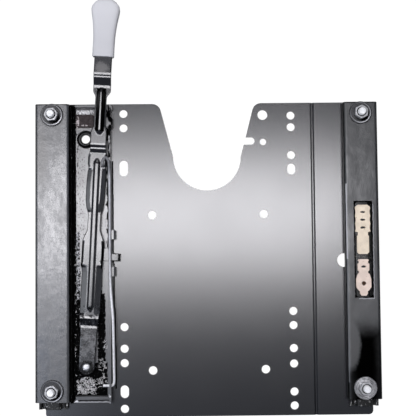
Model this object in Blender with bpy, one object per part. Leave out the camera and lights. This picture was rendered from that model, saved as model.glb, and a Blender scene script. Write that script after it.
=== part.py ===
"""Fore-and-aft seat isolator: a base plate and two lower rails, two upper rails that slide on them,
and a sprung lock lever in a tray beside the left rail.

Sizes are in millimetres and are turned into metres when a mesh is made. X runs to the right, Y to the
front and Z up. Sizes along Y count from the middle of the stud pattern, and one empty moves the whole
part so that its origin is under the middle of its box. Sizes of the rails are heights above the plate.
"""
import math

import bmesh
import bpy
from mathutils import Vector

MM = 0.001

# Fits
SEAT_GAP = 0.25
RUNNING_GAP = 0.5
CIRCLE_STEPS = 20

# Rails, stud pattern and slide
RAIL_LENGTH = 316.0
RAIL_WIDTH = 36.4
RAIL_FRONT = RAIL_LENGTH / 2
RAIL_REAR = -RAIL_LENGTH / 2
STUD_X = 164.8
STUD_SETBACK = 12.0
STUD_Y = RAIL_FRONT - STUD_SETBACK
SLIDE_TRAVEL = 20.0

# Base plate
PLATE_THICK = 3.0
PLATE_TOP = PLATE_THICK
PLATE_TUCK = 8.5
PLATE_HALF_WIDTH = STUD_X + RAIL_WIDTH / 2 - PLATE_TUCK
PLATE_SHIFT = 0.8
PLATE_FRONT = RAIL_FRONT + 1.7
PLATE_REAR = RAIL_REAR - 17.9
PLATE_CORNER_RADIUS = 4.5
GROOVE_X = 113.8
GROOVE_WIDTH = 4.2
GROOVE_DEPTH = 1.7

# Cut-out at the front of the base plate
THROAT_X = 0.3
THROAT_RADIUS = 36.6
THROAT_CENTRE_Y = 101.8
THROAT_SPLAY = 12.9
THROAT_LIP_Y = 150.2
THROAT_LIP_RADIUS = 9.5
NICK_Y = 118.5
NICK_END_X = 47.8
NICK_WIDTH = 8.0

# Holes of the base plate
HOLE_COLUMN_X = 90.6
HOLE_DIAMETER = 8.8
LEFT_COLUMN_Y = (149.1, 133.5, -80.6, -103.6, -118.9, -167.3)
RIGHT_COLUMN_Y = (145.9, 133.3, 102.9, -65.3, -80.4, -104.9, -121.3, -151.0, -165.8)
LEFT_SLOTS = ((89.8, 9.4, 17.2), (-149.2, 9.0, 13.6))
RIGHT_SLOTS = ((87.7, 8.8, 12.0),)
INNER_HOLE_X = 60.3
INNER_HOLE_Y = (39.2, -127.0)
INNER_HOLE_DIAMETER = 9.2
PILOT_HOLE = (60.1, 146.7, 10.8)
SMALL_HOLE = (60.3, 117.4, 7.2)
WING_HOLE = (145.9, -11.3, 14.6)

# Sections of the rails
RAIL_HEIGHT = 14.5
RAIL_THICK = 2.3
RAIL_BEND_RADIUS = 2.4
LIP_CLEARANCE = 0.6
LOWER_THICK = 2.0
LOWER_BEND_RADIUS = 1.4
LOWER_REAR = RAIL_REAR - 8.0
LOWER_LENGTH = RAIL_LENGTH
LOWER_WEB_HALF_WIDTH = 8.25
LOWER_WEB_HEIGHT = 9.0
LOWER_FLANGE_HALF_WIDTH = 13.4
RIM_OVERLAP = 1.8

# Window in the right upper rail and the nylon glides under it
WINDOW_LENGTH = 101.0
WINDOW_WIDTH = 19.0
WINDOW_OFFSET_X = 0.8
WINDOW_CORNER = 4.0
GLIDE_HALF_WIDTH = 8.3
GLIDE_WAIST_HALF_WIDTH = 6.4
GLIDE_SCALLOP = 0.8
GLIDE_PITCH = 8.3
GLIDE_SLIT = (4.8, 1.8)
FRONT_GLIDE_TOP = 47.6
FRONT_GLIDE_SHOULDER = 19.1
FRONT_GLIDE_END = -5.0
REAR_GLIDE_TOP = -10.5
REAR_GLIDE_END = -49.4
REAR_GLIDE_SWELL = (-31.5, -41.0)
REAR_GLIDE_NOTCHES = (-13.6, -24.3)
REAR_GLIDE_HOLE_Y = -18.4
PEG_RADIUS = 2.4
PEG_BORE_RADIUS = 1.7
PEG_LENGTH = 1.8

# Isolator springs inside the lower rails
SPRING_TO_STUD = 5.5
SPRING_LENGTH = 58.0
SPRING_MEAN_RADIUS = 2.3
SPRING_WIRE_RADIUS = 0.6
SPRING_COILS = 8
SPRING_STEPS = 10
TAB_THICK = 2.0
DRIVE_TAB_WIDTH = 3.8
HOLD_TAB_WIDTH = 2.8

# Studs, washers and nuts
STUD_RADIUS = 4.0
STUD_HOLE_CLEARANCE = 0.3
STUD_RISE = 15.0
STUD_CHAMFER = 0.9
STUD_HEAD_RADIUS = 6.5
STUD_HEAD_THICK = 1.8
WASHER_RADIUS = 12.2
WASHER_THICK = 1.8
NUT_ACROSS_FLATS = 13.0
NUT_HEIGHT = 6.8
NUT_CHAMFER = 0.9

# Lever tray
TRAY_THICK = 2.0
TRAY_LIFT = 0.6
TRAY_RIGHT = -103.2
TRAY_FRONT = RAIL_FRONT
TRAY_REAR = RAIL_REAR - 1.8
TRAY_WALL_TOP = PLATE_TOP + 10.6
TRAY_FLANGE_TOP = PLATE_TOP + 8.0
TRAY_BEND_RADIUS = 2.4
TRAY_LIP_TOP = PLATE_TOP + 9.6
TRAY_LIP_DEPTH = 5.0
TRAY_LEDGE_TOP = PLATE_TOP + 5.6
TRAY_LEDGE_DEPTH = 6.6
TRAY_NOTCH = (-16.0, 13.2)
TRAY_NOTCH_FLOOR = PLATE_TOP + 5.6
LUG_LENGTH = 10.0
LUG_REACH = 4.8
LUG_HEIGHT = 4.4
EAR_FRONT = ((TRAY_FRONT - 26.5, TRAY_FRONT - 13.0), (TRAY_FRONT - 7.0, TRAY_FRONT - 0.6))
EAR_REACH = 2.2
EAR_HEIGHT = 5.0
TRAY_WELL = (-141.5, -121.0, TRAY_FRONT - 24.4, TRAY_FRONT - 11.0)
EYELET = (-130.0, TRAY_FRONT - 36.8)
EYELET_HOLE_RADIUS = 4.6
EYELET_RIM_RADIUS = 8.2
EYELET_HEIGHT = 2.2

# Lever
PIVOT_X = -129.5
PIVOT_Y = RAIL_REAR + 36.4
LEVER_LEAN = 3.5
LEVER_THICK = 3.0
LEVER_TAB_Z = PLATE_TOP + 4.6
LEVER_MAIN_Z = PLATE_TOP + 7.6
LEVER_NECK_Z = PLATE_TOP + 12.6
LEVER_GRIP_Z = PLATE_TOP + 18.6
LEVER_TAB_RADIUS = 8.5
LEVER_LOW_HALF_WIDTH = 10.8
LEVER_WIDE_HALF_WIDTH = 11.6
LEVER_WAIST_HALF_WIDTH = 6.9
LEVER_STRAP_HALF_WIDTH = 10.1
LEVER_STRAP_SHIFT = 1.1
LEVER_BRIDGE_HALF_WIDTH = 8.4
LEVER_NECK_HALF_WIDTH = 6.0
LEVER_HANDLE_HALF_WIDTH = 9.4
LEVER_JOGGLES = ((43.5, 52.5), (228.5, 237.0), (298.0, 312.0))
GRIP_START = 329.0
GRIP_INSERT = 29.0
LEVER_END = GRIP_START + GRIP_INSERT
LONG_BEAD = (58.0, 222.0, 4.3, 2.6)
LONG_BEAD_LEAN = 0.56
LONG_BEAD_CENTRE = 105.0
NECK_BEAD = (247.0, 297.0, 4.9, 3.6)
BEAD_MARGIN = 2.2
BEAD_RUN_OUT = 5.0
SIDE_DROP = 1.8
SIDE_DROP_RANGES = ((54.0, 108.0), (162.0, 214.0))
TONGUE = (113.2, 121.6, 126.2)
TONGUE_REACH = 28.6
TONGUE_ROOT = 18.0
HOOK_HOLE = (5.2, 214.0)

# Pivot screw
PIVOT_RADIUS = 3.0
PIVOT_CLEARANCE = 0.3
PIVOT_BOSS_RADIUS = 6.0
PIVOT_HEAD_RADIUS = 3.9
PIVOT_HEAD_HEIGHT = 2.2
PIVOT_SLOT = (1.1, 1.0)
PIVOT_SLOT_TURN = 40.0
PIVOT_WASHER_RADIUS = 6.4
PIVOT_WASHER_THICK = 1.2

# Grip
GRIP_END = GRIP_START + 63.4
GRIP_SECTIONS = ((0.0, 11.0, 5.6), (1.2, 11.6, 6.3), (14.0, 11.5, 6.4), (23.0, 11.7, 6.4), (30.5, 12.3, 6.5),
                 (38.0, 13.2, 6.7), (45.0, 14.5, 6.9), (50.5, 15.3, 7.0), (55.0, 14.5, 6.7), (59.0, 11.4, 5.8),
                 (61.8, 7.4, 4.2))
GRIP_STEPS = 28
GRIP_SQUARENESS = 3.6

# Wire spring of the lever
WIRE_RADIUS = 1.45
WIRE_SIDES = 8
WIRE_BAR_Y = PIVOT_Y - 20.0
WIRE_BAR_END = TRAY_RIGHT - 9.0
WIRE_REAR_X = TRAY_RIGHT + 2.6
WIRE_REAR_Z = PLATE_TOP + 6.2
WIRE_HOOK = 8.6

# Levels worked out from the sizes above
RAIL_TOP = PLATE_TOP + RAIL_HEIGHT
RAIL_UNDERSIDE = RAIL_TOP - RAIL_THICK
WEB_TOP = PLATE_TOP + SEAT_GAP + LOWER_WEB_HEIGHT
WEB_UNDERSIDE = WEB_TOP - LOWER_THICK
WEB_CUT_LOW = WEB_UNDERSIDE - 0.6
WEB_CUT_HIGH = WEB_TOP + 1.0
TRAY_LEFT = -STUD_X + RAIL_WIDTH / 2 + SEAT_GAP
TRAY_FLOOR = PLATE_TOP + TRAY_LIFT
TRAY_FLOOR_TOP = TRAY_FLOOR + TRAY_THICK
LEVER_MAIN_TOP = LEVER_MAIN_Z + LEVER_THICK
WIRE_HIGH_Z = LEVER_MAIN_TOP + SEAT_GAP + WIRE_RADIUS
SPRING_REAR = STUD_HEAD_RADIUS + SPRING_TO_STUD - STUD_Y
SPRING_FRONT = SPRING_REAR + SPRING_LENGTH
GRIP_TIP_Y = PIVOT_Y + GRIP_END * math.cos(math.radians(LEVER_LEAN))
ORIGIN_Y = (PLATE_REAR + GRIP_TIP_Y) / 2


def clear_scene():
    for obj in list(bpy.data.objects):
        bpy.data.objects.remove(obj, do_unlink=True)


def material(name, color, roughness, metallic):
    mat = bpy.data.materials.new(name)
    mat.use_nodes = True
    shader = mat.node_tree.nodes["Principled BSDF"]
    shader.inputs["Base Color"].default_value = (*color, 1.0)
    shader.inputs["Roughness"].default_value = roughness
    shader.inputs["Metallic"].default_value = metallic
    return mat


def empty(name, location=(0.0, 0.0, 0.0), parent=None, turn=0.0):
    """Carrier of a body: place in millimetres, turn about Z in degrees."""
    obj = bpy.data.objects.new(name, None)
    bpy.context.collection.objects.link(obj)
    obj.location = Vector(location) * MM
    obj.rotation_euler = (0.0, 0.0, math.radians(turn))
    obj.parent = parent
    return obj


def add_object(name, bm, mat, parent, location=(0.0, 0.0, 0.0)):
    """Turns a shape drawn in millimetres into a smooth-shaded object in metres."""
    bmesh.ops.scale(bm, vec=(MM, MM, MM), verts=bm.verts)
    bmesh.ops.recalc_face_normals(bm, faces=bm.faces)
    mesh = bpy.data.meshes.new(name)
    bm.to_mesh(mesh)
    bm.free()
    mesh.shade_smooth()
    mesh.set_sharp_from_angle(angle=math.radians(32))
    if mat:
        mesh.materials.append(mat)
    obj = bpy.data.objects.new(name, mesh)
    bpy.context.collection.objects.link(obj)
    obj.location = Vector(location) * MM
    obj.parent = parent
    return obj


def combine(obj, operation, name, bm):
    """Joins a helper shape to an object, or cuts it out, with a Boolean that stays live."""
    helper = add_object(name, bm, None, obj.parent)
    helper.location = obj.location
    helper.hide_render = True
    helper.display_type = "WIRE"
    modifier = obj.modifiers.new(name, "BOOLEAN")
    modifier.operation = operation
    modifier.object = helper


def cut(obj, name, bm):
    combine(obj, "DIFFERENCE", name, bm)


def unite(obj, name, bm):
    combine(obj, "UNION", name, bm)


def bridge_rings(bm, rings, cap=True):
    """Skins a run of rings with the same number of corners and closes its two ends."""
    for first, second in zip(rings, rings[1:]):
        count = len(first)
        for i in range(count):
            j = (i + 1) % count
            bm.faces.new((first[i], first[j], second[j], second[i]))
    if cap:
        bm.faces.new(rings[0])
        bm.faces.new(rings[-1])


def prism(outline, low, high, axis="Z", bm=None):
    """Outline extruded along Z, or a section extruded along Y (x, z) or along X (y, z)."""
    bm = bm or bmesh.new()
    spots = {
        "Z": lambda a, b, c: (a, b, c),
        "Y": lambda a, b, c: (a, c, b),
        "X": lambda a, b, c: (c, a, b),
    }
    rings = [[bm.verts.new(spots[axis](a, b, level)) for a, b in outline] for level in (low, high)]
    bridge_rings(bm, rings)
    return bm


def box(x0, x1, y0, y1, z0, z1, bm=None):
    return prism(((x0, y0), (x1, y0), (x1, y1), (x0, y1)), z0, z1, bm=bm)


def arc(centre, radius, start, end, steps):
    """Points on an arc, angles in degrees."""
    angles = [math.radians(start + (end - start) * i / steps) for i in range(steps + 1)]
    return [(centre[0] + radius * math.cos(a), centre[1] + radius * math.sin(a)) for a in angles]


def circle(centre, radius, steps=CIRCLE_STEPS):
    return arc(centre, radius, 0.0, 360.0, steps)[:-1]


def capsule(centre, width, length, steps=CIRCLE_STEPS // 2):
    """Long hole that runs along Y."""
    radius = width / 2
    run = length / 2 - radius
    top = arc((centre[0], centre[1] + run), radius, 0.0, 180.0, steps)
    bottom = arc((centre[0], centre[1] - run), radius, 180.0, 360.0, steps)
    return top + bottom


def disc(centre, radius, z0, z1, steps=CIRCLE_STEPS, bm=None):
    return prism(circle(centre, radius, steps), z0, z1, bm=bm)


def lathe(profile, steps=CIRCLE_STEPS):
    """Profile of (radius, height) points turned about Z; a zero radius closes it on the axis."""
    bm = bmesh.new()
    rings = []
    for radius, height in profile:
        if radius == 0.0:
            rings.append([bm.verts.new((0.0, 0.0, height))] * steps)
        else:
            rings.append([bm.verts.new((x, y, height)) for x, y in circle((0.0, 0.0), radius, steps)])
    closed = profile[0][0] > 0.0
    pairs = list(zip(rings, rings[1:]))
    if closed:
        pairs.append((rings[-1], rings[0]))
    for first, second in pairs:
        for i in range(steps):
            j = (i + 1) % steps
            corners = [first[i], first[j], second[j], second[i]]
            unique = list(dict.fromkeys(corners))
            bm.faces.new(unique)
    return bm


def rounded_path(corners, radius, steps=4):
    """Open path with its bends rounded: a list of (point, unit normal to the left)."""
    points = [Vector(corner) for corner in corners]
    spots = []

    def normal(direction):
        return Vector((-direction.y, direction.x))

    first = (points[1] - points[0]).normalized()
    spots.append((points[0], normal(first)))
    for before, corner, after in zip(points, points[1:], points[2:]):
        arrive = (corner - before).normalized()
        leave = (after - corner).normalized()
        turn = math.atan2(arrive.x * leave.y - arrive.y * leave.x, arrive.dot(leave))
        side = math.copysign(1.0, turn)
        start = corner - arrive * radius * math.tan(abs(turn) / 2)
        centre = start + normal(arrive) * radius * side
        for step in range(steps + 1):
            angle = turn * step / steps
            spoke = Vector(normal(arrive)) * -side
            swung = Vector((spoke.x * math.cos(angle) - spoke.y * math.sin(angle),
                            spoke.x * math.sin(angle) + spoke.y * math.cos(angle)))
            spots.append((centre + swung * radius, swung * -side))
    last = (points[-1] - points[-2]).normalized()
    spots.append((points[-1], normal(last)))
    return spots


def sheet_section(corners, radius, thick, steps=4):
    """Closed section of a sheet that follows a bent centre line."""
    spots = rounded_path(corners, radius, steps)
    left = [tuple(point + normal * thick / 2) for point, normal in spots]
    right = [tuple(point - normal * thick / 2) for point, normal in spots]
    return left + right[::-1]


def tube(points, radius, sides):
    """Round wire through points that are already close together."""
    bm = bmesh.new()
    rings = []
    path = [Vector(point) for point in points]
    side = Vector((0.0, 0.0, 1.0))
    for i, point in enumerate(path):
        ahead = path[min(i + 1, len(path) - 1)] - path[max(i - 1, 0)]
        ahead.normalize()
        side = (side - ahead * side.dot(ahead)).normalized()
        other = ahead.cross(side)
        ring = []
        for k in range(sides):
            angle = 2 * math.pi * k / sides
            spot = point + (side * math.cos(angle) + other * math.sin(angle)) * radius
            ring.append(bm.verts.new(spot))
        rings.append(ring)
    bridge_rings(bm, rings)
    return bm


def smooth_curve(points, steps):
    """Catmull-Rom curve through a few route points."""
    path = [Vector(point) for point in points]
    ends = [path[0] * 2 - path[1]] + path + [path[-1] * 2 - path[-2]]
    curve = []
    for a, b, c, d in zip(ends, ends[1:], ends[2:], ends[3:]):
        for step in range(steps):
            t = step / steps
            curve.append(0.5 * (2 * b + (c - a) * t + (2 * a - 5 * b + 4 * c - d) * t * t
                                + (3 * b - a - 3 * c + d) * t ** 3))
    curve.append(path[-1])
    return curve


def base_plate(mat, parent):
    """One flat sheet with a cut-out, a hole pattern and a groove along its right side."""
    plate = add_object("base_plate", prism(plate_outline(), 0.0, PLATE_TOP), mat, parent)
    low = -1.0
    high = PLATE_TOP + 1.0
    cut(plate, "throat_cutter", prism(throat_outline(), low, high))
    cut(plate, "hole_cutter", plate_holes(low, high))
    foot = GROOVE_WIDTH * 0.1
    half = GROOVE_WIDTH / 2
    section = [(-half, high), (-half, PLATE_TOP), (-foot, PLATE_TOP - GROOVE_DEPTH),
               (foot, PLATE_TOP - GROOVE_DEPTH), (half, PLATE_TOP), (half, high)]
    section = [(PLATE_SHIFT + GROOVE_X + x, z) for x, z in section]
    cut(plate, "groove_cutter", prism(section, PLATE_REAR - 1.0, PLATE_FRONT + 1.0, "Y"))


def plate_outline():
    """Rectangle with rounded corners."""
    radius = PLATE_CORNER_RADIUS
    x0, x1 = PLATE_SHIFT - PLATE_HALF_WIDTH + radius, PLATE_SHIFT + PLATE_HALF_WIDTH - radius
    y0, y1 = PLATE_REAR + radius, PLATE_FRONT - radius
    outline = []
    for quarter, centre in enumerate(((x1, y1), (x0, y1), (x0, y0), (x1, y0))):
        outline += arc(centre, radius, 90.0 * quarter, 90.0 * (quarter + 1), 6)
    return outline


def throat_outline():
    """Deep cut-out with a round bottom, splayed sides, rounded lips and a nick in its right side."""
    lip_x = THROAT_RADIUS + THROAT_SPLAY
    lean = math.degrees(math.atan2(THROAT_SPLAY, THROAT_LIP_Y - THROAT_CENTRE_Y))
    bottom = arc((0.0, THROAT_CENTRE_Y), THROAT_RADIUS, 180.0, 360.0, 32)
    radius = THROAT_LIP_RADIUS
    lip_centre_y = PLATE_FRONT - radius
    lip_centre_x = lip_x + radius
    lip = arc((lip_centre_x, lip_centre_y), radius, 180.0 - lean, 90.0, 7)
    nick = arc((NICK_END_X, NICK_Y), NICK_WIDTH / 2, -90.0, 90.0, 10)
    slope = THROAT_SPLAY / (THROAT_LIP_Y - THROAT_CENTRE_Y)
    nick_low = NICK_Y - NICK_WIDTH / 2
    nick_high = NICK_Y + NICK_WIDTH / 2
    mouth = [(THROAT_RADIUS + slope * (nick_low - THROAT_CENTRE_Y), nick_low)]
    mouth += nick
    mouth += [(THROAT_RADIUS + slope * (nick_high - THROAT_CENTRE_Y), nick_high)]
    over = PLATE_FRONT + 1.0
    right = mouth + lip + [(lip_centre_x, over)]
    left = [(-x, y) for x, y in reversed(lip)]
    outline = bottom + right + [(-lip_centre_x, over)] + left
    return [(THROAT_X + x, y) for x, y in outline]


def plate_holes(low, high):
    bm = bmesh.new()
    for side, column in ((-1, LEFT_COLUMN_Y), (1, RIGHT_COLUMN_Y)):
        for y in column:
            disc((PLATE_SHIFT + side * HOLE_COLUMN_X, y), HOLE_DIAMETER / 2, low, high, bm=bm)
    for side, slots in ((-1, LEFT_SLOTS), (1, RIGHT_SLOTS)):
        for y, width, length in slots:
            prism(capsule((PLATE_SHIFT + side * HOLE_COLUMN_X, y), width, length), low, high, bm=bm)
    for side in (-1, 1):
        for y in INNER_HOLE_Y:
            disc((PLATE_SHIFT + side * INNER_HOLE_X, y), INNER_HOLE_DIAMETER / 2, low, high, bm=bm)
    for x, y, diameter in (PILOT_HOLE, SMALL_HOLE, WING_HOLE):
        disc((PLATE_SHIFT + x, y), diameter / 2, low, high, bm=bm)
    disc(EYELET, EYELET_RIM_RADIUS, low, high, bm=bm)
    return bm


def lower_rail(name, side, mat, parent):
    """Rolled rail: a raised web, two gutters and out-turned rims, with slots for the drive tabs."""
    half = LOWER_THICK / 2
    web_x = LOWER_WEB_HALF_WIDTH - half
    wall_x = LOWER_FLANGE_HALF_WIDTH - half
    web_z = LOWER_WEB_HEIGHT - half
    rim_z = LIP_CLEARANCE + RAIL_THICK + RUNNING_GAP + half
    rim_x = LOWER_FLANGE_HALF_WIDTH + RIM_OVERLAP
    right = [(web_x, web_z), (web_x, half), (wall_x, half), (wall_x, rim_z), (rim_x, rim_z)]
    corners = [(-x, z) for x, z in reversed(right)] + right
    section = sheet_section(corners, LOWER_BEND_RADIUS, LOWER_THICK)
    base = PLATE_TOP + SEAT_GAP
    section = [(side * STUD_X + x, base + z) for x, z in section]
    rail = add_object(name, prism(section, LOWER_REAR, LOWER_REAR + LOWER_LENGTH, "Y"), mat, parent)
    unite(rail, name + "_hold_tabs", hold_tabs(side))
    cut(rail, name + "_slot_cutter", drive_slots(side))
    cut(rail, name + "_peg_cutter", peg_holes(side))


def hold_tabs(side):
    """Pairs of tabs under the web that hold the two ends of the isolator spring."""
    bm = bmesh.new()
    inner = DRIVE_TAB_WIDTH / 2 + RUNNING_GAP + 0.2
    for y0, y1 in tab_places():
        for hand in (-1, 1):
            edges = sorted((hand * inner, hand * (inner + HOLD_TAB_WIDTH)))
            x0, x1 = (side * STUD_X + edge for edge in edges)
            box(x0, x1, y0, y1, PLATE_TOP + 1.2, WEB_UNDERSIDE + LOWER_THICK / 2, bm=bm)
    return bm


def tab_places():
    """Where the tabs stand along Y, just past the front and the rear end of the spring."""
    return ((SPRING_REAR - TAB_THICK, SPRING_REAR), (SPRING_FRONT, SPRING_FRONT + TAB_THICK))


def drive_slots(side):
    """Slots in the web that the drive tabs travel in."""
    bm = bmesh.new()
    half = DRIVE_TAB_WIDTH / 2 + RUNNING_GAP
    reach = SLIDE_TRAVEL + RUNNING_GAP
    for y0, y1 in tab_places():
        box(side * STUD_X - half, side * STUD_X + half, y0 - reach, y1 + reach, WEB_CUT_LOW, WEB_CUT_HIGH, bm=bm)
    return bm


def peg_holes(side):
    """Holes in the web for the pegs of the glides."""
    bm = bmesh.new()
    low = WEB_CUT_LOW
    high = WEB_CUT_HIGH
    for y in peg_places():
        disc((glide_x(side), y), PEG_RADIUS + SEAT_GAP, low, high, 16, bm=bm)
    return bm


def glide_x(side):
    return side * (STUD_X + WINDOW_OFFSET_X)


def peg_places():
    front = (FRONT_GLIDE_SHOULDER + FRONT_GLIDE_END) / 2
    rear = sum(REAR_GLIDE_SWELL) / 2
    return (front, rear)


def upper_rail(name, side, mat, parent, window):
    """Channel whose turned-in lips run under the rims of the lower rail."""
    half = RAIL_THICK / 2
    wall_x = RAIL_WIDTH / 2 - half
    top_z = RAIL_HEIGHT - half
    lip_z = LIP_CLEARANCE + half
    lip_x = LOWER_FLANGE_HALF_WIDTH + RUNNING_GAP
    corners = [(-lip_x, lip_z), (-wall_x, lip_z), (-wall_x, top_z),
               (wall_x, top_z), (wall_x, lip_z), (lip_x, lip_z)]
    section = sheet_section(corners, RAIL_BEND_RADIUS, RAIL_THICK)
    section = [(side * STUD_X + x, PLATE_TOP + z) for x, z in section]
    rail = add_object(name, prism(section, RAIL_REAR, RAIL_FRONT, "Y"), mat, parent)
    unite(rail, name + "_drive_tabs", drive_tabs(side))
    holes = bmesh.new()
    low = RAIL_UNDERSIDE - 0.4
    high = RAIL_TOP + 1.0
    for y in (-STUD_Y, STUD_Y):
        disc((side * STUD_X, y), STUD_RADIUS + STUD_HOLE_CLEARANCE, low, high, bm=holes)
    if window:
        prism(window_outline(glide_x(side)), low, high, bm=holes)
    cut(rail, name + "_hole_cutter", holes)


def drive_tabs(side):
    """Tabs that reach down through the web and take one end of the spring along."""
    bm = bmesh.new()
    half = DRIVE_TAB_WIDTH / 2
    for y0, y1 in tab_places():
        x = side * STUD_X
        box(x - half, x + half, y0, y1, PLATE_TOP + 1.6, RAIL_UNDERSIDE + RAIL_THICK / 2, bm=bm)
    return bm


def window_outline(centre_x):
    """Long window with cut corners."""
    half_x = WINDOW_WIDTH / 2
    half_y = WINDOW_LENGTH / 2
    corner = WINDOW_CORNER
    quarter = [(half_x, half_y - corner), (half_x - corner * 0.35, half_y - corner * 0.35),
               (half_x - corner, half_y)]
    outline = quarter + [(-x, y) for x, y in reversed(quarter)]
    outline += [(-x, -y) for x, y in quarter] + [(x, -y) for x, y in reversed(quarter)]
    return [(centre_x + x, y) for x, y in outline]


def front_glide_outline():
    """Right half of the front glide, front to rear, as (half width, y)."""
    wide = GLIDE_HALF_WIDTH
    half = [(wide - 3.2, FRONT_GLIDE_TOP), (wide - 0.8, FRONT_GLIDE_TOP - 2.0)]
    steps = 18
    run = FRONT_GLIDE_TOP - 2.6 - FRONT_GLIDE_SHOULDER
    for i in range(steps + 1):
        y = FRONT_GLIDE_TOP - 2.6 - run * i / steps
        wave = abs(math.sin(math.pi * (y - slit_places()[0]) / GLIDE_PITCH + math.pi / 2))
        half.append((wide - GLIDE_SCALLOP * wave, y))
    waist = GLIDE_WAIST_HALF_WIDTH
    half += [(waist - 1.0, FRONT_GLIDE_SHOULDER - 1.0), (waist - 1.0, FRONT_GLIDE_SHOULDER - 4.0),
             (waist, FRONT_GLIDE_SHOULDER - 5.0), (waist, FRONT_GLIDE_END + 2.0),
             (waist - 2.0, FRONT_GLIDE_END)]
    return half


def rear_glide_outline():
    """Right half of the rear glide, front to rear, as (half width, y)."""
    waist = GLIDE_WAIST_HALF_WIDTH
    wide = GLIDE_HALF_WIDTH - 0.2
    swell_top, swell_end = REAR_GLIDE_SWELL
    half = [(waist - 1.4, REAR_GLIDE_TOP), (waist - 0.6, REAR_GLIDE_TOP - 0.9)]
    for y in REAR_GLIDE_NOTCHES:
        half += [(waist - 0.2, y + 1.9), (waist - 1.5, y + 0.9), (waist - 1.5, y - 0.9), (waist, y - 1.9)]
    half += [(wide, swell_top), (wide, swell_end + 1.0), (wide - 2.4, swell_end - 2.6),
             (waist - 2.2, swell_end - 3.6), (waist - 2.2, REAR_GLIDE_END + 2.2), (waist - 4.0, REAR_GLIDE_END)]
    return half


def slit_places():
    first = FRONT_GLIDE_TOP - 7.8
    return tuple(first - GLIDE_PITCH * i for i in range(3))


def glide(name, side, half, openings, peg_y, mat, parent, bored=False):
    """Flat nylon bearing with a peg that drops into the web, solid or hollow from above."""
    low = WEB_TOP + SEAT_GAP
    high = RAIL_UNDERSIDE - SEAT_GAP
    centre = glide_x(side)
    outline = [(centre + x, y) for x, y in half] + [(centre - x, y) for x, y in reversed(half)]
    piece = add_object(name, prism(outline, low, high), mat, parent)
    unite(piece, name + "_peg", disc((centre, peg_y), PEG_RADIUS, low - PEG_LENGTH, low + 1.0, 16))
    cutter = bmesh.new()
    for x, y, width, length in openings:
        if width == length:
            disc((centre + x, y), width / 2, low - 1.0, high + 1.0, 16, bm=cutter)
        else:
            across = [(centre + x + b, y + a) for a, b in capsule((0.0, 0.0), length, width, 5)]
            prism(across, low - 1.0, high + 1.0, bm=cutter)
    if bored:
        disc((centre, peg_y), PEG_BORE_RADIUS, low - PEG_LENGTH / 2, high + 1.0, 16, bm=cutter)
    cut(piece, name + "_cutter", cutter)


def glides(side, hand, mat, parent):
    front_peg, rear_peg = peg_places()
    width, length = GLIDE_SLIT
    slits = [(0.0, y, width, length) for y in slit_places()]
    glide(f"glide_{hand}_front", side, front_glide_outline(), slits, front_peg, mat, parent)
    oval = [(0.0, REAR_GLIDE_HOLE_Y, 4.2, 2.2)]
    glide(f"glide_{hand}_rear", side, rear_glide_outline(), oval, rear_peg, mat, parent, bored=True)


def isolator_spring(name, side, mat, parent):
    """Centring spring: coiled wire that lies in the tunnel under the web."""
    turns = SPRING_COILS * SPRING_STEPS
    centre_z = (PLATE_TOP + WEB_UNDERSIDE) / 2
    start = SPRING_REAR + SEAT_GAP + SPRING_WIRE_RADIUS
    run = SPRING_LENGTH - 2 * (SEAT_GAP + SPRING_WIRE_RADIUS)
    points = []
    for i in range(turns + 1):
        angle = 2 * math.pi * i / SPRING_STEPS
        points.append((side * STUD_X + SPRING_MEAN_RADIUS * math.cos(angle),
                       start + run * i / turns,
                       centre_z + SPRING_MEAN_RADIUS * math.sin(angle)))
    add_object(name, tube(points, SPRING_WIRE_RADIUS, 5), mat, parent)


def stud(name, spot, mat, parent):
    """Weld stud: thin head under the rail top and a chamfered shank above it."""
    shank_end = STUD_RISE
    head_top = -RAIL_THICK - SEAT_GAP
    profile = [(0.0, head_top - STUD_HEAD_THICK), (STUD_HEAD_RADIUS, head_top - STUD_HEAD_THICK),
               (STUD_HEAD_RADIUS, head_top), (STUD_RADIUS, head_top),
               (STUD_RADIUS, shank_end - STUD_CHAMFER), (STUD_RADIUS - STUD_CHAMFER, shank_end),
               (0.0, shank_end)]
    add_object(name, lathe(profile), mat, parent, (*spot, RAIL_TOP))


def washer(name, spot, mat, parent):
    inner = STUD_RADIUS + STUD_HOLE_CLEARANCE
    low = SEAT_GAP
    high = SEAT_GAP + WASHER_THICK
    edge = 0.4
    profile = [(inner, low), (WASHER_RADIUS, low), (WASHER_RADIUS, high - edge),
               (WASHER_RADIUS - edge, high), (inner, high)]
    add_object(name, lathe(profile, 28), mat, parent, (*spot, RAIL_TOP))


def nut(name, spot, turn, mat, parent):
    """Hexagon nut with chamfered corners at the top and the bottom."""
    low = 2 * SEAT_GAP + WASHER_THICK
    high = low + NUT_HEIGHT
    corner_radius = NUT_ACROSS_FLATS / 2 / math.cos(math.pi / 6)
    flat_radius = NUT_ACROSS_FLATS / 2
    hexagon = [(x, y) for x, y in arc((0.0, 0.0), corner_radius, turn, turn + 360.0, 6)[:-1]]
    piece = add_object(name, prism(hexagon, low, high), mat, parent, (*spot, RAIL_TOP))
    rounding = [(0.0, low - 1.0), (flat_radius, low - 1.0), (flat_radius, low),
                (corner_radius + 0.4, low + NUT_CHAMFER), (corner_radius + 0.4, high - NUT_CHAMFER),
                (flat_radius, high), (flat_radius, high + 1.0), (0.0, high + 1.0)]
    combine(piece, "INTERSECT", name + "_rounding", lathe(rounding))
    bore = STUD_RADIUS + STUD_HOLE_CLEARANCE
    cut(piece, name + "_bore", disc((0.0, 0.0), bore, low - 2.0, high + 2.0))


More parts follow.
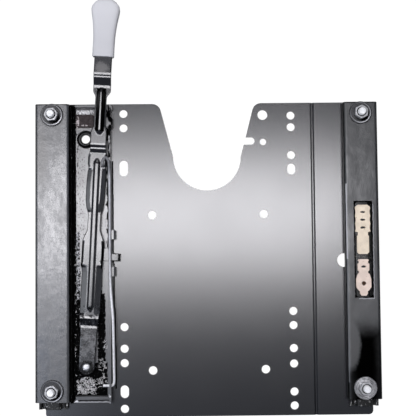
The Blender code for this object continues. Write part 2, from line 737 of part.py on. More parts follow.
def lever_tray(mat, parent):
    """Pressed tray: flange against the rail, floor, side wall, front lip and rear ledge."""
    half = TRAY_THICK / 2
    left = TRAY_LEFT + half
    right = TRAY_RIGHT - half
    floor = TRAY_FLOOR + half
    corners = [(left, TRAY_FLANGE_TOP), (left, floor), (right, floor), (right, TRAY_WALL_TOP)]
    section = sheet_section(corners, TRAY_BEND_RADIUS, TRAY_THICK)
    tray = add_object("lever_tray", prism(section, TRAY_REAR, TRAY_FRONT, "Y"), mat, parent)
    unite(tray, "tray_ends", tray_ends())
    unite(tray, "tray_lugs", tray_lugs())
    unite(tray, "tray_bosses", tray_bosses())
    cut(tray, "tray_cutter", tray_cuts())


def tray_ends():
    """Rolled lip across the front and a raised ledge across the rear."""
    bm = bmesh.new()
    x0 = TRAY_LEFT + TRAY_THICK / 2
    x1 = TRAY_RIGHT - TRAY_THICK / 2
    low = TRAY_FLOOR + TRAY_THICK / 2
    lip = [(TRAY_FRONT - TRAY_LIP_DEPTH, low), (TRAY_FRONT, low),
           (TRAY_FRONT, TRAY_LIP_TOP - 1.2), (TRAY_FRONT - 1.2, TRAY_LIP_TOP),
           (TRAY_FRONT - 2.8, TRAY_LIP_TOP), (TRAY_FRONT - 3.6, TRAY_LIP_TOP - 1.0),
           (TRAY_FRONT - 4.0, low + 2.4)]
    prism(lip, x0, x1, "X", bm=bm)
    ledge = [(TRAY_REAR, low), (TRAY_REAR + TRAY_LEDGE_DEPTH + 1.4, low),
             (TRAY_REAR + TRAY_LEDGE_DEPTH, TRAY_LEDGE_TOP), (TRAY_REAR + 0.8, TRAY_LEDGE_TOP),
             (TRAY_REAR, TRAY_LEDGE_TOP - 0.8)]
    prism(ledge, x0, x1, "X", bm=bm)
    return bm


def tray_lugs():
    """Tabs bent out of the side wall on both sides of the notch, and two pressed ears."""
    bm = bmesh.new()
    notch_rear, notch_front = TRAY_NOTCH
    root = TRAY_RIGHT - TRAY_THICK / 2
    top = TRAY_WALL_TOP
    section = [(root, top - LUG_HEIGHT), (TRAY_RIGHT + LUG_REACH - 2.0, top - LUG_HEIGHT),
               (TRAY_RIGHT + LUG_REACH, top - LUG_HEIGHT + 0.8), (TRAY_RIGHT + LUG_REACH, top - 2.0),
               (TRAY_RIGHT + LUG_REACH - 1.6, top - 0.5), (root, top - 0.5)]
    for y0 in (notch_front, notch_rear - LUG_LENGTH):
        prism(section, y0, y0 + LUG_LENGTH, "Y", bm=bm)
    for y0, y1 in EAR_FRONT:
        ear = capsule((TRAY_RIGHT - TRAY_THICK / 2, (y0 + y1) / 2), 2 * EAR_REACH + TRAY_THICK, y1 - y0, 8)
        prism(ear, top - EAR_HEIGHT, top - 0.5, bm=bm)
    return bm


def tray_bosses():
    """Raised rim of the eyelet and the boss that the pivot screw goes into."""
    bm = bmesh.new()
    low = TRAY_FLOOR + TRAY_THICK / 2
    disc(EYELET, EYELET_RIM_RADIUS, low, TRAY_FLOOR_TOP + EYELET_HEIGHT, 28, bm=bm)
    disc((PIVOT_X, PIVOT_Y), PIVOT_BOSS_RADIUS, low, LEVER_TAB_Z - SEAT_GAP, 28, bm=bm)
    return bm


def tray_cuts():
    bm = bmesh.new()
    low = TRAY_FLOOR - 1.0
    high = TRAY_WALL_TOP + 1.0
    notch_rear, notch_front = TRAY_NOTCH
    wall_inside = TRAY_RIGHT - TRAY_THICK - EAR_REACH
    box(wall_inside, TRAY_RIGHT + 1.0, notch_rear, notch_front, TRAY_NOTCH_FLOOR, high, bm=bm)
    x0, x1, y0, y1 = TRAY_WELL
    box(x0, x1, y0, y1, low, TRAY_FLOOR_TOP + 1.0, bm=bm)
    disc(EYELET, EYELET_HOLE_RADIUS, low, high, 28, bm=bm)
    disc((PIVOT_X, PIVOT_Y), PIVOT_RADIUS + PIVOT_CLEARANCE, low, high, bm=bm)
    eye = circle((WIRE_BAR_Y, WIRE_REAR_Z), WIRE_RADIUS + SEAT_GAP, 16)
    prism(eye, TRAY_RIGHT - 2 * TRAY_THICK, TRAY_RIGHT + 1.0, "X", bm=bm)
    return bm


def between(value, low, high):
    """How far a value has come from low to high, held to 0 and 1, with a soft start and end."""
    share = min(max((value - low) / (high - low), 0.0), 1.0)
    return share * share * (3 - 2 * share)


def lever_outline():
    """Left and right half widths of the lever at each station along it, from its pivot."""
    low = LEVER_LOW_HALF_WIDTH
    wide = LEVER_WIDE_HALF_WIDTH
    waist = LEVER_WAIST_HALF_WIDTH
    strap = LEVER_STRAP_HALF_WIDTH
    bridge = LEVER_BRIDGE_HALF_WIDTH
    neck = LEVER_NECK_HALF_WIDTH
    handle = LEVER_HANDLE_HALF_WIDTH
    rear, tip, root = TONGUE
    radius = LEVER_TAB_RADIUS
    ends = [(-radius * math.cos(math.radians(a)), radius * math.sin(math.radians(a)))
            for a in (6, 20, 34, 48, 62, 76, 90)]
    outline = [(u, w, w) for u, w in ends]
    left = strap + LEVER_STRAP_SHIFT
    right = strap - LEVER_STRAP_SHIFT
    outline += [(36.0, radius + 0.4, radius + 0.4), (46.0, radius + 1.1, radius + 1.1), (56.0, low, low),
                (100.0, low, low), (107.0, wide + 0.6, low), (rear - 0.2, wide + 0.6, low),
                (rear, wide + 0.6, TONGUE_REACH), (tip, wide + 0.6, TONGUE_REACH),
                (root - 0.2, wide + 0.6, TONGUE_ROOT), (root, wide + 0.6, wide), (133.5, wide + 0.6, wide - 0.8),
                (145.0, waist + 0.6, waist - 0.6), (163.0, waist + 0.6, waist - 0.6),
                (168.0, left - 1.4, right - 1.2), (176.0, left, right - 0.3), (197.0, left + 0.3, right + 0.2),
                (209.0, left - 0.6, right + 0.4), (212.0, left - 1.8, right - 1.0), (214.5, left, right + 0.2),
                (225.5, left, right + 0.2), (228.5, bridge + 0.8, bridge - 0.6),
                (251.0, bridge + 0.8, bridge - 0.8), (256.0, neck + 0.5, neck - 0.4),
                (288.0, neck + 0.4, neck - 0.2), (292.5, handle - 0.2, handle + 0.3),
                (LEVER_END - 4.0, handle - 0.2, handle + 0.2), (LEVER_END, handle - 3.0, handle - 3.0)]
    return outline


def lever_stations():
    """Outline stations with more put in between, so that joggles and beads come out round."""
    outline = lever_outline()
    stations = []
    for (u0, l0, r0), (u1, l1, r1) in zip(outline, outline[1:]):
        count = max(1, int((u1 - u0) / 3.2))
        for i in range(count):
            t = i / count
            stations.append((u0 + (u1 - u0) * t, l0 + (l1 - l0) * t, r0 + (r1 - r0) * t))
    stations.append(outline[-1])
    return stations


def lever_level(u):
    """Height of the underside of the lever, which climbs over three joggles."""
    levels = (LEVER_TAB_Z, LEVER_MAIN_Z, LEVER_NECK_Z, LEVER_GRIP_Z)
    z = levels[0]
    for (start, end), low, high in zip(LEVER_JOGGLES, levels, levels[1:]):
        z += (high - low) * between(u, start, end)
    return z


def bead_at(u):
    """Half width and height of the pressed bead at a station."""
    for start, end, half, height in (LONG_BEAD, NECK_BEAD):
        if start < u < end:
            rise = between(u, start, start + BEAD_RUN_OUT) * between(-u, -end, -end + BEAD_RUN_OUT)
            return half, height * rise
    return LONG_BEAD[2], 0.0


def bead_centre(u):
    """Where the middle of the bead lies across the lever. The long bead leans a little to the rail."""
    if LONG_BEAD[0] - BEAD_RUN_OUT < u < LONG_BEAD[1] + BEAD_RUN_OUT:
        return (LONG_BEAD_CENTRE - u) * math.tan(math.radians(LONG_BEAD_LEAN))
    return 0.0


def side_drop(u):
    """How far the sides of the lever hang below its middle at a station."""
    drop = 0.0
    for start, end in SIDE_DROP_RANGES:
        drop += SIDE_DROP * between(u, start, start + 8.0) * between(-u, -end, -end + 8.0)
    return drop


def lock_lever(mat, parent):
    """Strap with a tongue, down-turned sides, two beads and three joggles, lofted along its length."""
    bm = bmesh.new()
    rings = []
    for u, left, right in lever_stations():
        z = lever_level(u)
        bead_half, bead_height = bead_at(u)
        drop = side_drop(u)
        mid = bead_centre(u)
        flat = min(left + mid, right - mid, bead_half + BEAD_MARGIN) * 0.98
        bead = min(bead_half, flat * 0.88)
        line = [(-left, -drop), (mid - flat, 0.0), (mid - bead, 0.0), (mid - bead * 0.5, bead_height * 0.66),
                (mid, bead_height), (mid + bead * 0.5, bead_height * 0.66), (mid + bead, 0.0),
                (mid + flat, 0.0), (right, -drop)]
        top = [bm.verts.new((x, u, z + dz + LEVER_THICK)) for x, dz in line]
        under = [bm.verts.new((x, u, z + dz)) for x, dz in reversed(line)]
        rings.append(top + under)
    bridge_rings(bm, rings)
    lever = add_object("lock_lever", bm, mat, parent)
    holes = disc((0.0, 0.0), PIVOT_RADIUS + PIVOT_CLEARANCE, LEVER_TAB_Z - 2.0, LEVER_MAIN_TOP + 2.0)
    disc(HOOK_HOLE, WIRE_RADIUS + RUNNING_GAP, LEVER_MAIN_Z - 1.0, LEVER_MAIN_TOP + 1.0, 16, bm=holes)
    cut(lever, "lever_hole_cutter", holes)


def lever_grip(mat, parent):
    """Moulded grip with soft corners, a waist and a swollen end, hollow where the strap enters."""
    bm = bmesh.new()
    rings = []
    middle = LEVER_GRIP_Z + LEVER_THICK / 2
    power = 2 / GRIP_SQUARENESS
    for along, half_width, half_height in GRIP_SECTIONS:
        ring = []
        for k in range(GRIP_STEPS):
            angle = 2 * math.pi * k / GRIP_STEPS
            c = math.cos(angle)
            s = math.sin(angle)
            x = half_width * math.copysign(abs(c) ** power, c)
            z = half_height * math.copysign(abs(s) ** power, s)
            ring.append(bm.verts.new((x, GRIP_START + along, middle + z)))
        rings.append(ring)
    bridge_rings(bm, rings, cap=False)
    bm.faces.new(rings[0])
    tip = bm.verts.new((0.0, GRIP_END, middle))
    last = rings[-1]
    for k in range(GRIP_STEPS):
        bm.faces.new((last[k], last[(k + 1) % GRIP_STEPS], tip))
    grip = add_object("lever_grip", bm, mat, parent)
    half = LEVER_HANDLE_HALF_WIDTH + SEAT_GAP
    pocket = box(-half, half, GRIP_START - 1.0, LEVER_END + SEAT_GAP, LEVER_GRIP_Z - SEAT_GAP,
                 LEVER_GRIP_Z + LEVER_THICK + SEAT_GAP)
    cut(grip, "grip_pocket", pocket)


def pivot_screw(mat, parent):
    """Slotted pan-head screw that the lever turns on."""
    head = LEVER_TAB_Z + LEVER_THICK + 2 * SEAT_GAP + PIVOT_WASHER_THICK
    dome = [(PIVOT_HEAD_RADIUS, head), (PIVOT_HEAD_RADIUS, head + PIVOT_HEAD_HEIGHT * 0.6),
            (PIVOT_HEAD_RADIUS * 0.86, head + PIVOT_HEAD_HEIGHT * 0.86),
            (PIVOT_HEAD_RADIUS * 0.5, head + PIVOT_HEAD_HEIGHT), (0.0, head + PIVOT_HEAD_HEIGHT)]
    profile = [(0.0, TRAY_FLOOR + SEAT_GAP), (PIVOT_RADIUS, TRAY_FLOOR + SEAT_GAP), (PIVOT_RADIUS, head)]
    spot = (PIVOT_X, PIVOT_Y, 0.0)
    screw = add_object("pivot_screw", lathe(profile + dome), mat, parent, spot)
    width, depth = PIVOT_SLOT
    turn = math.radians(PIVOT_SLOT_TURN)
    reach = PIVOT_HEAD_RADIUS + 1.0
    corners = [(-reach, -width / 2), (reach, -width / 2), (reach, width / 2), (-reach, width / 2)]
    slot = [(x * math.cos(turn) - y * math.sin(turn), x * math.sin(turn) + y * math.cos(turn))
            for x, y in corners]
    top = head + PIVOT_HEAD_HEIGHT
    cut(screw, "screw_slot", prism(slot, top - depth, top + 1.0))


def pivot_washer(mat, parent):
    low = LEVER_TAB_Z + LEVER_THICK + SEAT_GAP
    high = low + PIVOT_WASHER_THICK
    inner = PIVOT_RADIUS + PIVOT_CLEARANCE
    edge = 0.3
    profile = [(inner, low), (PIVOT_WASHER_RADIUS, low), (PIVOT_WASHER_RADIUS, high - edge),
               (PIVOT_WASHER_RADIUS - edge, high), (inner, high)]
    add_object("pivot_washer", lathe(profile), mat, parent, (PIVOT_X, PIVOT_Y, 0.0))


def hook_spot():
    """Place of the wire's hole in the lever, in the frame of the tray."""
    lean = math.radians(LEVER_LEAN)
    across, along = HOOK_HOLE
    x = PIVOT_X + across * math.cos(lean) + along * math.sin(lean)
    y = PIVOT_Y + along * math.cos(lean) - across * math.sin(lean)
    return x, y


def lever_spring(mat, parent):
    """Bright wire along the side wall: bar through the wall, long leg, hook down into the lever."""
    hook_x, hook_y = hook_spot()
    over_wall = TRAY_RIGHT - 0.7
    beside_wall = TRAY_RIGHT + RUNNING_GAP + WIRE_RADIUS
    leg = hook_y - WIRE_BAR_Y
    climb = WIRE_HIGH_Z - WIRE_REAR_Z
    bar = TRAY_RIGHT - WIRE_BAR_END
    route = [(WIRE_BAR_END, WIRE_BAR_Y, WIRE_REAR_Z), (WIRE_BAR_END + bar / 2, WIRE_BAR_Y, WIRE_REAR_Z),
             (TRAY_RIGHT - 1.0, WIRE_BAR_Y, WIRE_REAR_Z), (WIRE_REAR_X - 1.4, WIRE_BAR_Y + 0.6, WIRE_REAR_Z)]
    rising = ((0.017, WIRE_REAR_X, 0.02), (0.071, WIRE_REAR_X, 0.09), (0.153, WIRE_REAR_X - 0.1, 0.31),
              (0.238, beside_wall + 0.5, 0.7), (0.324, beside_wall, 0.95), (0.436, over_wall + 0.7, 1.0),
              (0.547, over_wall + 0.1, 1.0), (0.693, over_wall, 1.0), (0.864, over_wall, 1.0),
              (1.0, over_wall - 0.5, 1.0))
    route += [(x, WIRE_BAR_Y + leg * share, WIRE_REAR_Z + climb * height) for share, x, height in rising]
    route += [(over_wall - 2.4, hook_y + WIRE_HOOK * 0.86, WIRE_HIGH_Z),
              (over_wall - 5.2, hook_y + WIRE_HOOK, WIRE_HIGH_Z),
              (hook_x - 0.2, hook_y + WIRE_HOOK * 0.53, WIRE_HIGH_Z),
              (hook_x, hook_y + WIRE_HOOK * 0.14, WIRE_HIGH_Z - 0.4), (hook_x, hook_y, WIRE_HIGH_Z - 1.8),
              (hook_x, hook_y, LEVER_MAIN_Z + 0.6)]
    add_object("lever_spring", tube(smooth_curve(route, 4), WIRE_RADIUS, WIRE_SIDES), mat, parent)


def corner_fasteners(name, x_side, y_side, mats, parent):
    """Stud, washer and nut of one corner."""
    spot = (x_side * STUD_X, y_side * STUD_Y)
    turn = {(-1, 1): 8.0, (-1, -1): 17.0, (1, 1): 26.0, (1, -1): 3.0}[(x_side, y_side)]
    stud(f"stud_{name}", spot, mats["zinc"], parent)
    washer(f"washer_{name}", spot, mats["coat"], parent)
    nut(f"nut_{name}", spot, turn, mats["zinc"], parent)


def main():
    clear_scene()
    mats = {
        "coat": material("black_coat", (0.05, 0.052, 0.056), 0.28, 0.6),
        "satin": material("satin_black", (0.16, 0.165, 0.17), 0.45, 0.7),
        "zinc": material("zinc_plate", (0.72, 0.72, 0.7), 0.3, 1.0),
        "nylon": material("nylon", (0.76, 0.66, 0.5), 0.5, 0.0),
        "grip": material("grip_plastic", (0.6, 0.61, 0.63), 0.55, 0.0),
        "steel": material("spring_steel", (0.8, 0.8, 0.8), 0.25, 1.0),
    }
    isolator = empty("isolator", (0.0, -ORIGIN_Y, 0.0))
    base = empty("base", parent=isolator)
    carriage = empty("carriage", parent=isolator)
    lever = empty("lever", (PIVOT_X, PIVOT_Y, 0.0), carriage, -LEVER_LEAN)
    base_plate(mats["coat"], base)
    for side, hand in ((-1, "left"), (1, "right")):
        lower_rail(f"lower_rail_{hand}", side, mats["coat"], base)
        glides(side, hand, mats["nylon"], base)
        isolator_spring(f"isolator_spring_{hand}", side, mats["steel"], base)
        upper_rail(f"upper_rail_{hand}", side, mats["satin"], carriage, window=hand == "right")
    for name, x_side, y_side in (("front_left", -1, 1), ("rear_left", -1, -1),
                                 ("front_right", 1, 1), ("rear_right", 1, -1)):
        corner_fasteners(name, x_side, y_side, mats, carriage)
    lever_tray(mats["coat"], carriage)
    pivot_screw(mats["zinc"], carriage)
    pivot_washer(mats["coat"], carriage)
    lever_spring(mats["steel"], carriage)
    lock_lever(mats["coat"], lever)
    lever_grip(mats["grip"], lever)


main()
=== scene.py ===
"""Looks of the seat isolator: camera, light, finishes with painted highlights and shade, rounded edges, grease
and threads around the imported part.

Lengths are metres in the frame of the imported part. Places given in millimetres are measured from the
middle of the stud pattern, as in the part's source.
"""
import math
import random

import bmesh
import bpy
from mathutils import Euler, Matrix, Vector
from mathutils import noise as field


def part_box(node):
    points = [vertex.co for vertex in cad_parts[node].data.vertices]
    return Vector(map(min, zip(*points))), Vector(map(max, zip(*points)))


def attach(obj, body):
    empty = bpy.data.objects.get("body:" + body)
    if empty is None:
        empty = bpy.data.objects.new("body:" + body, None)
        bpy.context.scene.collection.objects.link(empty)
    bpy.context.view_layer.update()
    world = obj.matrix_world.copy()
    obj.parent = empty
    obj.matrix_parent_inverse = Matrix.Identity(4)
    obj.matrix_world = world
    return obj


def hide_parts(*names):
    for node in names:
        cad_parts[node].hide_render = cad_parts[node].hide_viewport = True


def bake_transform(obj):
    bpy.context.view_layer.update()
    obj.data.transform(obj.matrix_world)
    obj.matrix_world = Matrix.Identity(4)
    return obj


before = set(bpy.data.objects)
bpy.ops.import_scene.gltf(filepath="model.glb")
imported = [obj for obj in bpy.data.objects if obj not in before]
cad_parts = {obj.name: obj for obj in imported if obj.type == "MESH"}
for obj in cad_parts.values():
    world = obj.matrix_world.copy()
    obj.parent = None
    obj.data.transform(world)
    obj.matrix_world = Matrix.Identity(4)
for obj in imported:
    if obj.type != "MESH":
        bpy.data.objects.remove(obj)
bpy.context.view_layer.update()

# How far the middle of the stud pattern lies from the frame's, in millimetres
PATTERN_Y = -47.084
# Places in millimetres from the middle of the stud pattern, heights from the plate's underside
STUD_X = 164.8
STUD_Y = 146.0
GLIDE_X = 165.6
EYELET = (-130.0, 121.2)
TRAY_FLOOR = 5.6
TRAY_FLANGE = 11.0
PIVOT = (-129.5, -121.6)
# The lever's turn at rest
LEAN = math.radians(3.5)

WHITE = (1.0, 1.0, 1.0)
COOL = (0.9, 0.94, 1.0)
DEAD_BLACK = (0.0006, 0.0006, 0.0006)


def mm(x, y, z=0.0):
    """A place in millimetres from the middle of the stud pattern, turned into the frame of the part."""
    return Vector((x, y + PATTERN_Y, z)) * 0.001


# Camera and light


def camera():
    """Camera above the part, fitted to the perspective of the photo."""
    data = bpy.data.cameras.new("camera")
    data.lens = 82.0
    data.sensor_width = 36.0
    obj = bpy.data.objects.new("camera", data)
    obj.location = mm(-10.9, -8.5, 1023.0)
    tilt = Euler((math.radians(3.07), 0.0, 0.0)).to_matrix()
    roll = Euler((0.0, math.radians(-0.66), 0.0)).to_matrix()
    turn = Euler((0.0, 0.0, math.radians(-0.54))).to_matrix()
    obj.rotation_euler = (tilt @ roll @ turn).to_euler()
    bpy.context.scene.collection.objects.link(obj)
    bpy.context.scene.camera = obj


def lamp(name, spot, size, radiance, color=WHITE, aim=(0.0, 0.0, 0.0)):
    """Soft rectangular lamp that faces a point. Its power follows from its size and brightness."""
    per_area = 4.0
    data = bpy.data.lights.new(name, "AREA")
    data.shape = "RECTANGLE"
    data.size, data.size_y = size
    data.energy = radiance * size[0] * size[1] * per_area
    data.color = color
    obj = bpy.data.objects.new(name, data)
    obj.location = spot
    obj.rotation_euler = (Vector(aim) - Vector(spot)).to_track_quat("-Z", "Y").to_euler()
    bpy.context.scene.collection.objects.link(obj)


def lights():
    """Long band that the plate mirrors, soft lamps round it, and a dim studio that is white to the camera."""
    studio_level = 0.1
    white_level = 1.4
    lamp("band", (-0.27, 0.066, 1.5), (1.42, 0.295), 9.6, (0.975, 0.965, 1.0), (-0.27, 0.06, 0.0))
    lamp("left_wall", (-0.78, -0.42, 1.5), (0.75, 0.6), 1.7, (0.74, 0.82, 1.0), (-0.78, -0.42, 0.0))
    lamp("left_side", (-1.65, 0.0, 1.25), (0.7, 1.5), 1.5, COOL)
    lamp("right_side", (1.6, 0.0, 1.1), (0.7, 1.2), 0.6, COOL)
    lamp("front_fill", (0.2, 1.9, 0.8), (1.2, 0.8), 1.6)
    world = bpy.data.worlds.new("studio")
    world.use_nodes = True
    tree = world.node_tree
    back = tree.nodes["Background"]
    path = tree.nodes.new("ShaderNodeLightPath")
    mix = tree.nodes.new("ShaderNodeMix")
    tree.links.new(path.outputs["Is Camera Ray"], mix.inputs[0])
    back.inputs["Color"].default_value = (0.72, 0.82, 1.0, 1.0)
    mix.inputs[2].default_value = studio_level
    mix.inputs[3].default_value = white_level
    tree.links.new(mix.outputs[0], back.inputs["Strength"])
    bpy.context.scene.world = world
    bpy.context.scene.view_settings.view_transform = "Standard"


# Short forms for material nodes


def put(tree, kind, sockets=None, out=0, **settings):
    """Adds a node, fills its sockets with numbers or links, and returns one of its outputs."""
    node = tree.nodes.new("ShaderNode" + kind)
    for name, value in settings.items():
        setattr(node, name, value)
    for key, value in (sockets or {}).items():
        if isinstance(value, bpy.types.NodeSocket):
            tree.links.new(value, node.inputs[key])
        else:
            node.inputs[key].default_value = value
    return node.outputs[out]


def calc(tree, operation, a, b):
    return put(tree, "Math", {0: a, 1: b}, operation=operation)


def vector(tree, operation, a, b=(0.0, 0.0, 0.0)):
    return put(tree, "VectorMath", {0: a, 1: b}, operation=operation)


def length(tree, a):
    return put(tree, "VectorMath", {0: a}, out=1, operation="LENGTH")


def step(tree, value, low, high, to=(0.0, 1.0)):
    """Smooth change from to[0] at low to to[1] at high."""
    return put(tree, "MapRange", {0: value, 1: low, 2: high, 3: to[0], 4: to[1]},
               interpolation_type="SMOOTHSTEP")


def colors(tree, share, first, second):
    first = (*first, 1.0) if isinstance(first, tuple) else first
    second = (*second, 1.0) if isinstance(second, tuple) else second
    return put(tree, "Mix", {0: share, 6: first, 7: second}, out=2, data_type="RGBA")


def values(tree, share, first, second):
    return put(tree, "Mix", {0: share, 2: first, 3: second})


def both(tree, a, b):
    return calc(tree, "MULTIPLY", a, b)


def without(tree, mask):
    return calc(tree, "SUBTRACT", 1.0, mask)


def spots(tree, scale, detail=3.0, stretch=(1.0, 1.0, 1.0), rough=0.55, shift=0.0):
    """Noise in the object's own coordinates, in features per metre."""
    place = put(tree, "TexCoord", out=3)
    moved = put(tree, "Mapping", {0: place, 1: (shift, shift * 0.7, shift * 1.3), 3: stretch})
    return put(tree, "TexNoise", {"Vector": moved, "Scale": scale, "Detail": detail, "Roughness": rough})


def ground(tree, wander=0.0, scale=160.0):
    """Place on the part in millimetres from the middle of the stud pattern, pushed about by noise."""
    place = put(tree, "TexCoord", out=3)
    flat = put(tree, "Mapping", {0: place, 1: (0.0, -PATTERN_Y, 0.0), 3: (1000.0, 1000.0, 1000.0)})
    if not wander:
        return flat
    push = put(tree, "TexNoise", {"Vector": place, "Scale": scale, "Detail": 4.0}, out=1)
    push = vector(tree, "SUBTRACT", push, (0.5, 0.5, 0.5))
    push = vector(tree, "MULTIPLY", push, (wander * 4, wander * 4, wander * 4))
    return vector(tree, "ADD", flat, push)


def blot(tree, place, middle, size, soft):
    """Mask that is 1 inside an ellipse of these half sizes and fades out across its rim."""
    off = vector(tree, "SUBTRACT", place, (*middle, 0.0))
    off = vector(tree, "DIVIDE", off, (size[0], size[1], 1e6))
    return step(tree, length(tree, off), 1.0 - soft, 1.0 + soft, (1.0, 0.0))


def strip(tree, place, x0, x1, y0, y1, soft):
    """Mask that is 1 inside a rectangle and fades out across its rim."""
    off = vector(tree, "SUBTRACT", place, ((x0 + x1) / 2, (y0 + y1) / 2, 0.0))
    off = vector(tree, "ABSOLUTE", off)
    off = vector(tree, "SUBTRACT", off, ((x1 - x0) / 2, (y1 - y0) / 2, 0.0))
    parts = tree.nodes.new("ShaderNodeSeparateXYZ")
    tree.links.new(off, parts.inputs[0])
    far = calc(tree, "MAXIMUM", parts.outputs[0], parts.outputs[1])
    return step(tree, far, -soft, soft, (1.0, 0.0))


def material(name, color, roughness, metallic, specular):
    mat = bpy.data.materials.new(name)
    mat.use_nodes = True
    tree = mat.node_tree
    shader = tree.nodes["Principled BSDF"]
    shader.inputs["Base Color"].default_value = (*color, 1.0)
    shader.inputs["Roughness"].default_value = roughness
    shader.inputs["Metallic"].default_value = metallic
    shader.inputs["Specular IOR Level"].default_value = specular
    return mat, tree, shader


class Finish:
    """A material whose colour, roughness and relief are laid over each other under masks."""

    def __init__(self, name, color, rough, metallic, specular):
        self.mat, self.tree, self.shader = material(name, color, rough, metallic, specular)
        self.color = color
        self.rough = rough
        self.metal = metallic
        self.normal = None

    def lay(self, mask, color, rough=None, metal=None):
        self.color = colors(self.tree, mask, self.color, color)
        if rough is not None:
            self.rough = values(self.tree, mask, self.rough, rough)
        if metal is not None:
            self.metal = values(self.tree, mask, self.metal, metal)

    def blacken(self, mask, rough=0.4):
        """Dead black under a mask, for soot and old grease, and for painted shade.

        It is set as metal because a metal of this colour mirrors next to nothing.
        """
        self.lay(mask, DEAD_BLACK, rough, 1.0)

    def cloud(self, scale, spread, tint, stretch=(1.0, 1.0, 1.0), detail=4.0):
        """Mottles the roughness by spread either way, and the colour by a share of itself."""
        noise = spots(self.tree, scale, detail, stretch, 0.6, scale * 0.01)
        shift = step(self.tree, noise, 0.35, 0.65, (-spread, spread))
        self.rough = calc(self.tree, "ADD", shift, self.rough)
        gain = step(self.tree, noise, 0.35, 0.65, (1.0 + tint, 1.0 - tint))
        base = (*self.color, 1.0) if isinstance(self.color, tuple) else self.color
        self.color = put(self.tree, "Mix", {0: 1.0, 6: base, 7: gain}, out=2, data_type="RGBA",
                         blend_type="MULTIPLY")

    def relief(self, height, strength, distance):
        """Bump on top of the bumps so far, distance in metres."""
        sockets = {"Height": height, "Strength": strength, "Distance": distance}
        if self.normal is not None:
            sockets["Normal"] = self.normal
        self.normal = put(self.tree, "Bump", sockets)

    def grain(self, scale, strength, distance, detail=2.0, stretch=(1.0, 1.0, 1.0)):
        self.relief(spots(self.tree, scale, detail, stretch), strength, distance)

    def done(self):
        for name, value in (("Base Color", self.color), ("Roughness", self.rough),
                            ("Metallic", self.metal), ("Normal", self.normal)):
            if isinstance(value, bpy.types.NodeSocket):
                self.tree.links.new(value, self.shader.inputs[name])
        return self.mat


# Finishes


def plate_coat():
    """Glossy black, with a line of painted shadow on the plate beside the wire."""
    wire_shadow_line = ((-101.8, 62.0, 98.0), (-101.5, -12.0, 62.0), (-100.6, -60.0, -12.0),
                   (-99.6, -100.0, -60.0), (-98.9, -146.0, -100.0))
    f = Finish("plate_coat", (0.01, 0.0105, 0.013), 0.222, 0.0, 1.0)
    f.cloud(14.0, 0.006, 0.1, detail=2.0)
    f.grain(1500.0, 0.02, 0.0001)
    place = ground(f.tree, 0.25, 300.0)
    # Painted shadow: a dead black line on the plate beside the wire, where the wire and the tray wall cast
    # shade.
    for x, y0, y1 in wire_shadow_line:
        f.blacken(strip(f.tree, place, x - 0.8, x + 0.8, y0, y1, 0.25))
    return f.done()


def rail_coat(hand):
    """Satin black, mottled. The right rail is darker, with painted shade at its rear and in its window, and
    painted highlights along the window's rims and its inner bend. Both rails have painted shade on their inner
    walls and outer bends, and are blackened across their front ends.
    """
    left = hand == "left"
    f = Finish("rail_coat_" + hand, (0.045, 0.047, 0.052) if left else (0.011, 0.0125, 0.0145),
               0.29 if left else 0.38, 0.0, 1.0 if left else 0.82)
    f.cloud(45.0, 0.05, 0.25, (1.0, 0.35, 1.0), 6.0)
    f.cloud(260.0, 0.035, 0.12, (1.0, 0.5, 1.0), 4.0)
    f.grain(420.0, 0.12, 0.0004, 4.0)
    f.grain(60.0, 0.1, 0.002, 3.0)
    place = ground(f.tree, 2.0, 90.0)
    if left:
        f.lay(blot(f.tree, place, (-176.0, 100.0), (6.0, 30.0), 0.6), (0.05, 0.047, 0.045), 0.34)
    else:
        # Painted shade for a dark reflection: the rear of the right rail is dead black, except for a patch that
        # keeps the satin coat.
        kept_satin = blot(f.tree, ground(f.tree, 1.2, 200.0), (149.0, -100.0), (11.0, 27.0), 0.2)
        dark = strip(f.tree, place, 144.0, 186.0, -180.0, -82.0, 14.0)
        f.blacken(both(f.tree, dark, without(f.tree, kept_satin)), 0.3)
        rough_edge = ground(f.tree, 0.5, 300.0)
        # Painted shade inside the window: dead black.
        f.blacken(strip(f.tree, rough_edge, 155.6, 175.6, -51.4, 51.6, 0.25))
        # Painted highlights: light lines along the window's right and rear rims.
        f.lay(strip(f.tree, rough_edge, 175.9, 176.7, -52.0, 48.0, 0.2), (0.22, 0.22, 0.235), 0.4)
        f.lay(strip(f.tree, rough_edge, 160.0, 176.6, -52.6, -51.8, 0.2), (0.3, 0.3, 0.31), 0.4)
        # Painted highlight: a light line along the bend at the right rail's inner edge, fainter towards the
        # rear.
        bend = ground(f.tree, 0.12, 120.0)
        f.lay(strip(f.tree, bend, 147.6, 148.7, -10.0, 70.0, 0.5), (0.5, 0.5, 0.52), 0.4)
        f.lay(strip(f.tree, bend, 147.6, 148.5, -140.0, -10.0, 0.5), (0.12, 0.12, 0.13), 0.4)
    # Painted shade: the inner walls of both rails are dead black.
    edge = ground(f.tree, 0.3, 300.0)
    inner_wall = 147.2
    f.blacken(strip(f.tree, edge, -inner_wall, inner_wall, -170.0, 170.0, 0.25))
    front_ends = ground(f.tree, 0.6, 300.0)
    for side in (-1, 1):
        # Painted shade along each rail's outer bend and wall: dead black.
        outer = side * 186.0
        f.blacken(strip(f.tree, edge, outer - 4.6, outer + 4.6, -170.0, 170.0, 0.3))
        # Each rail is blackened across its front end.
        middle = side * 166.0
        f.blacken(strip(f.tree, front_ends, middle - 22.0, middle + 22.0, 156.9, 165.0, 0.4))
    return f.done()


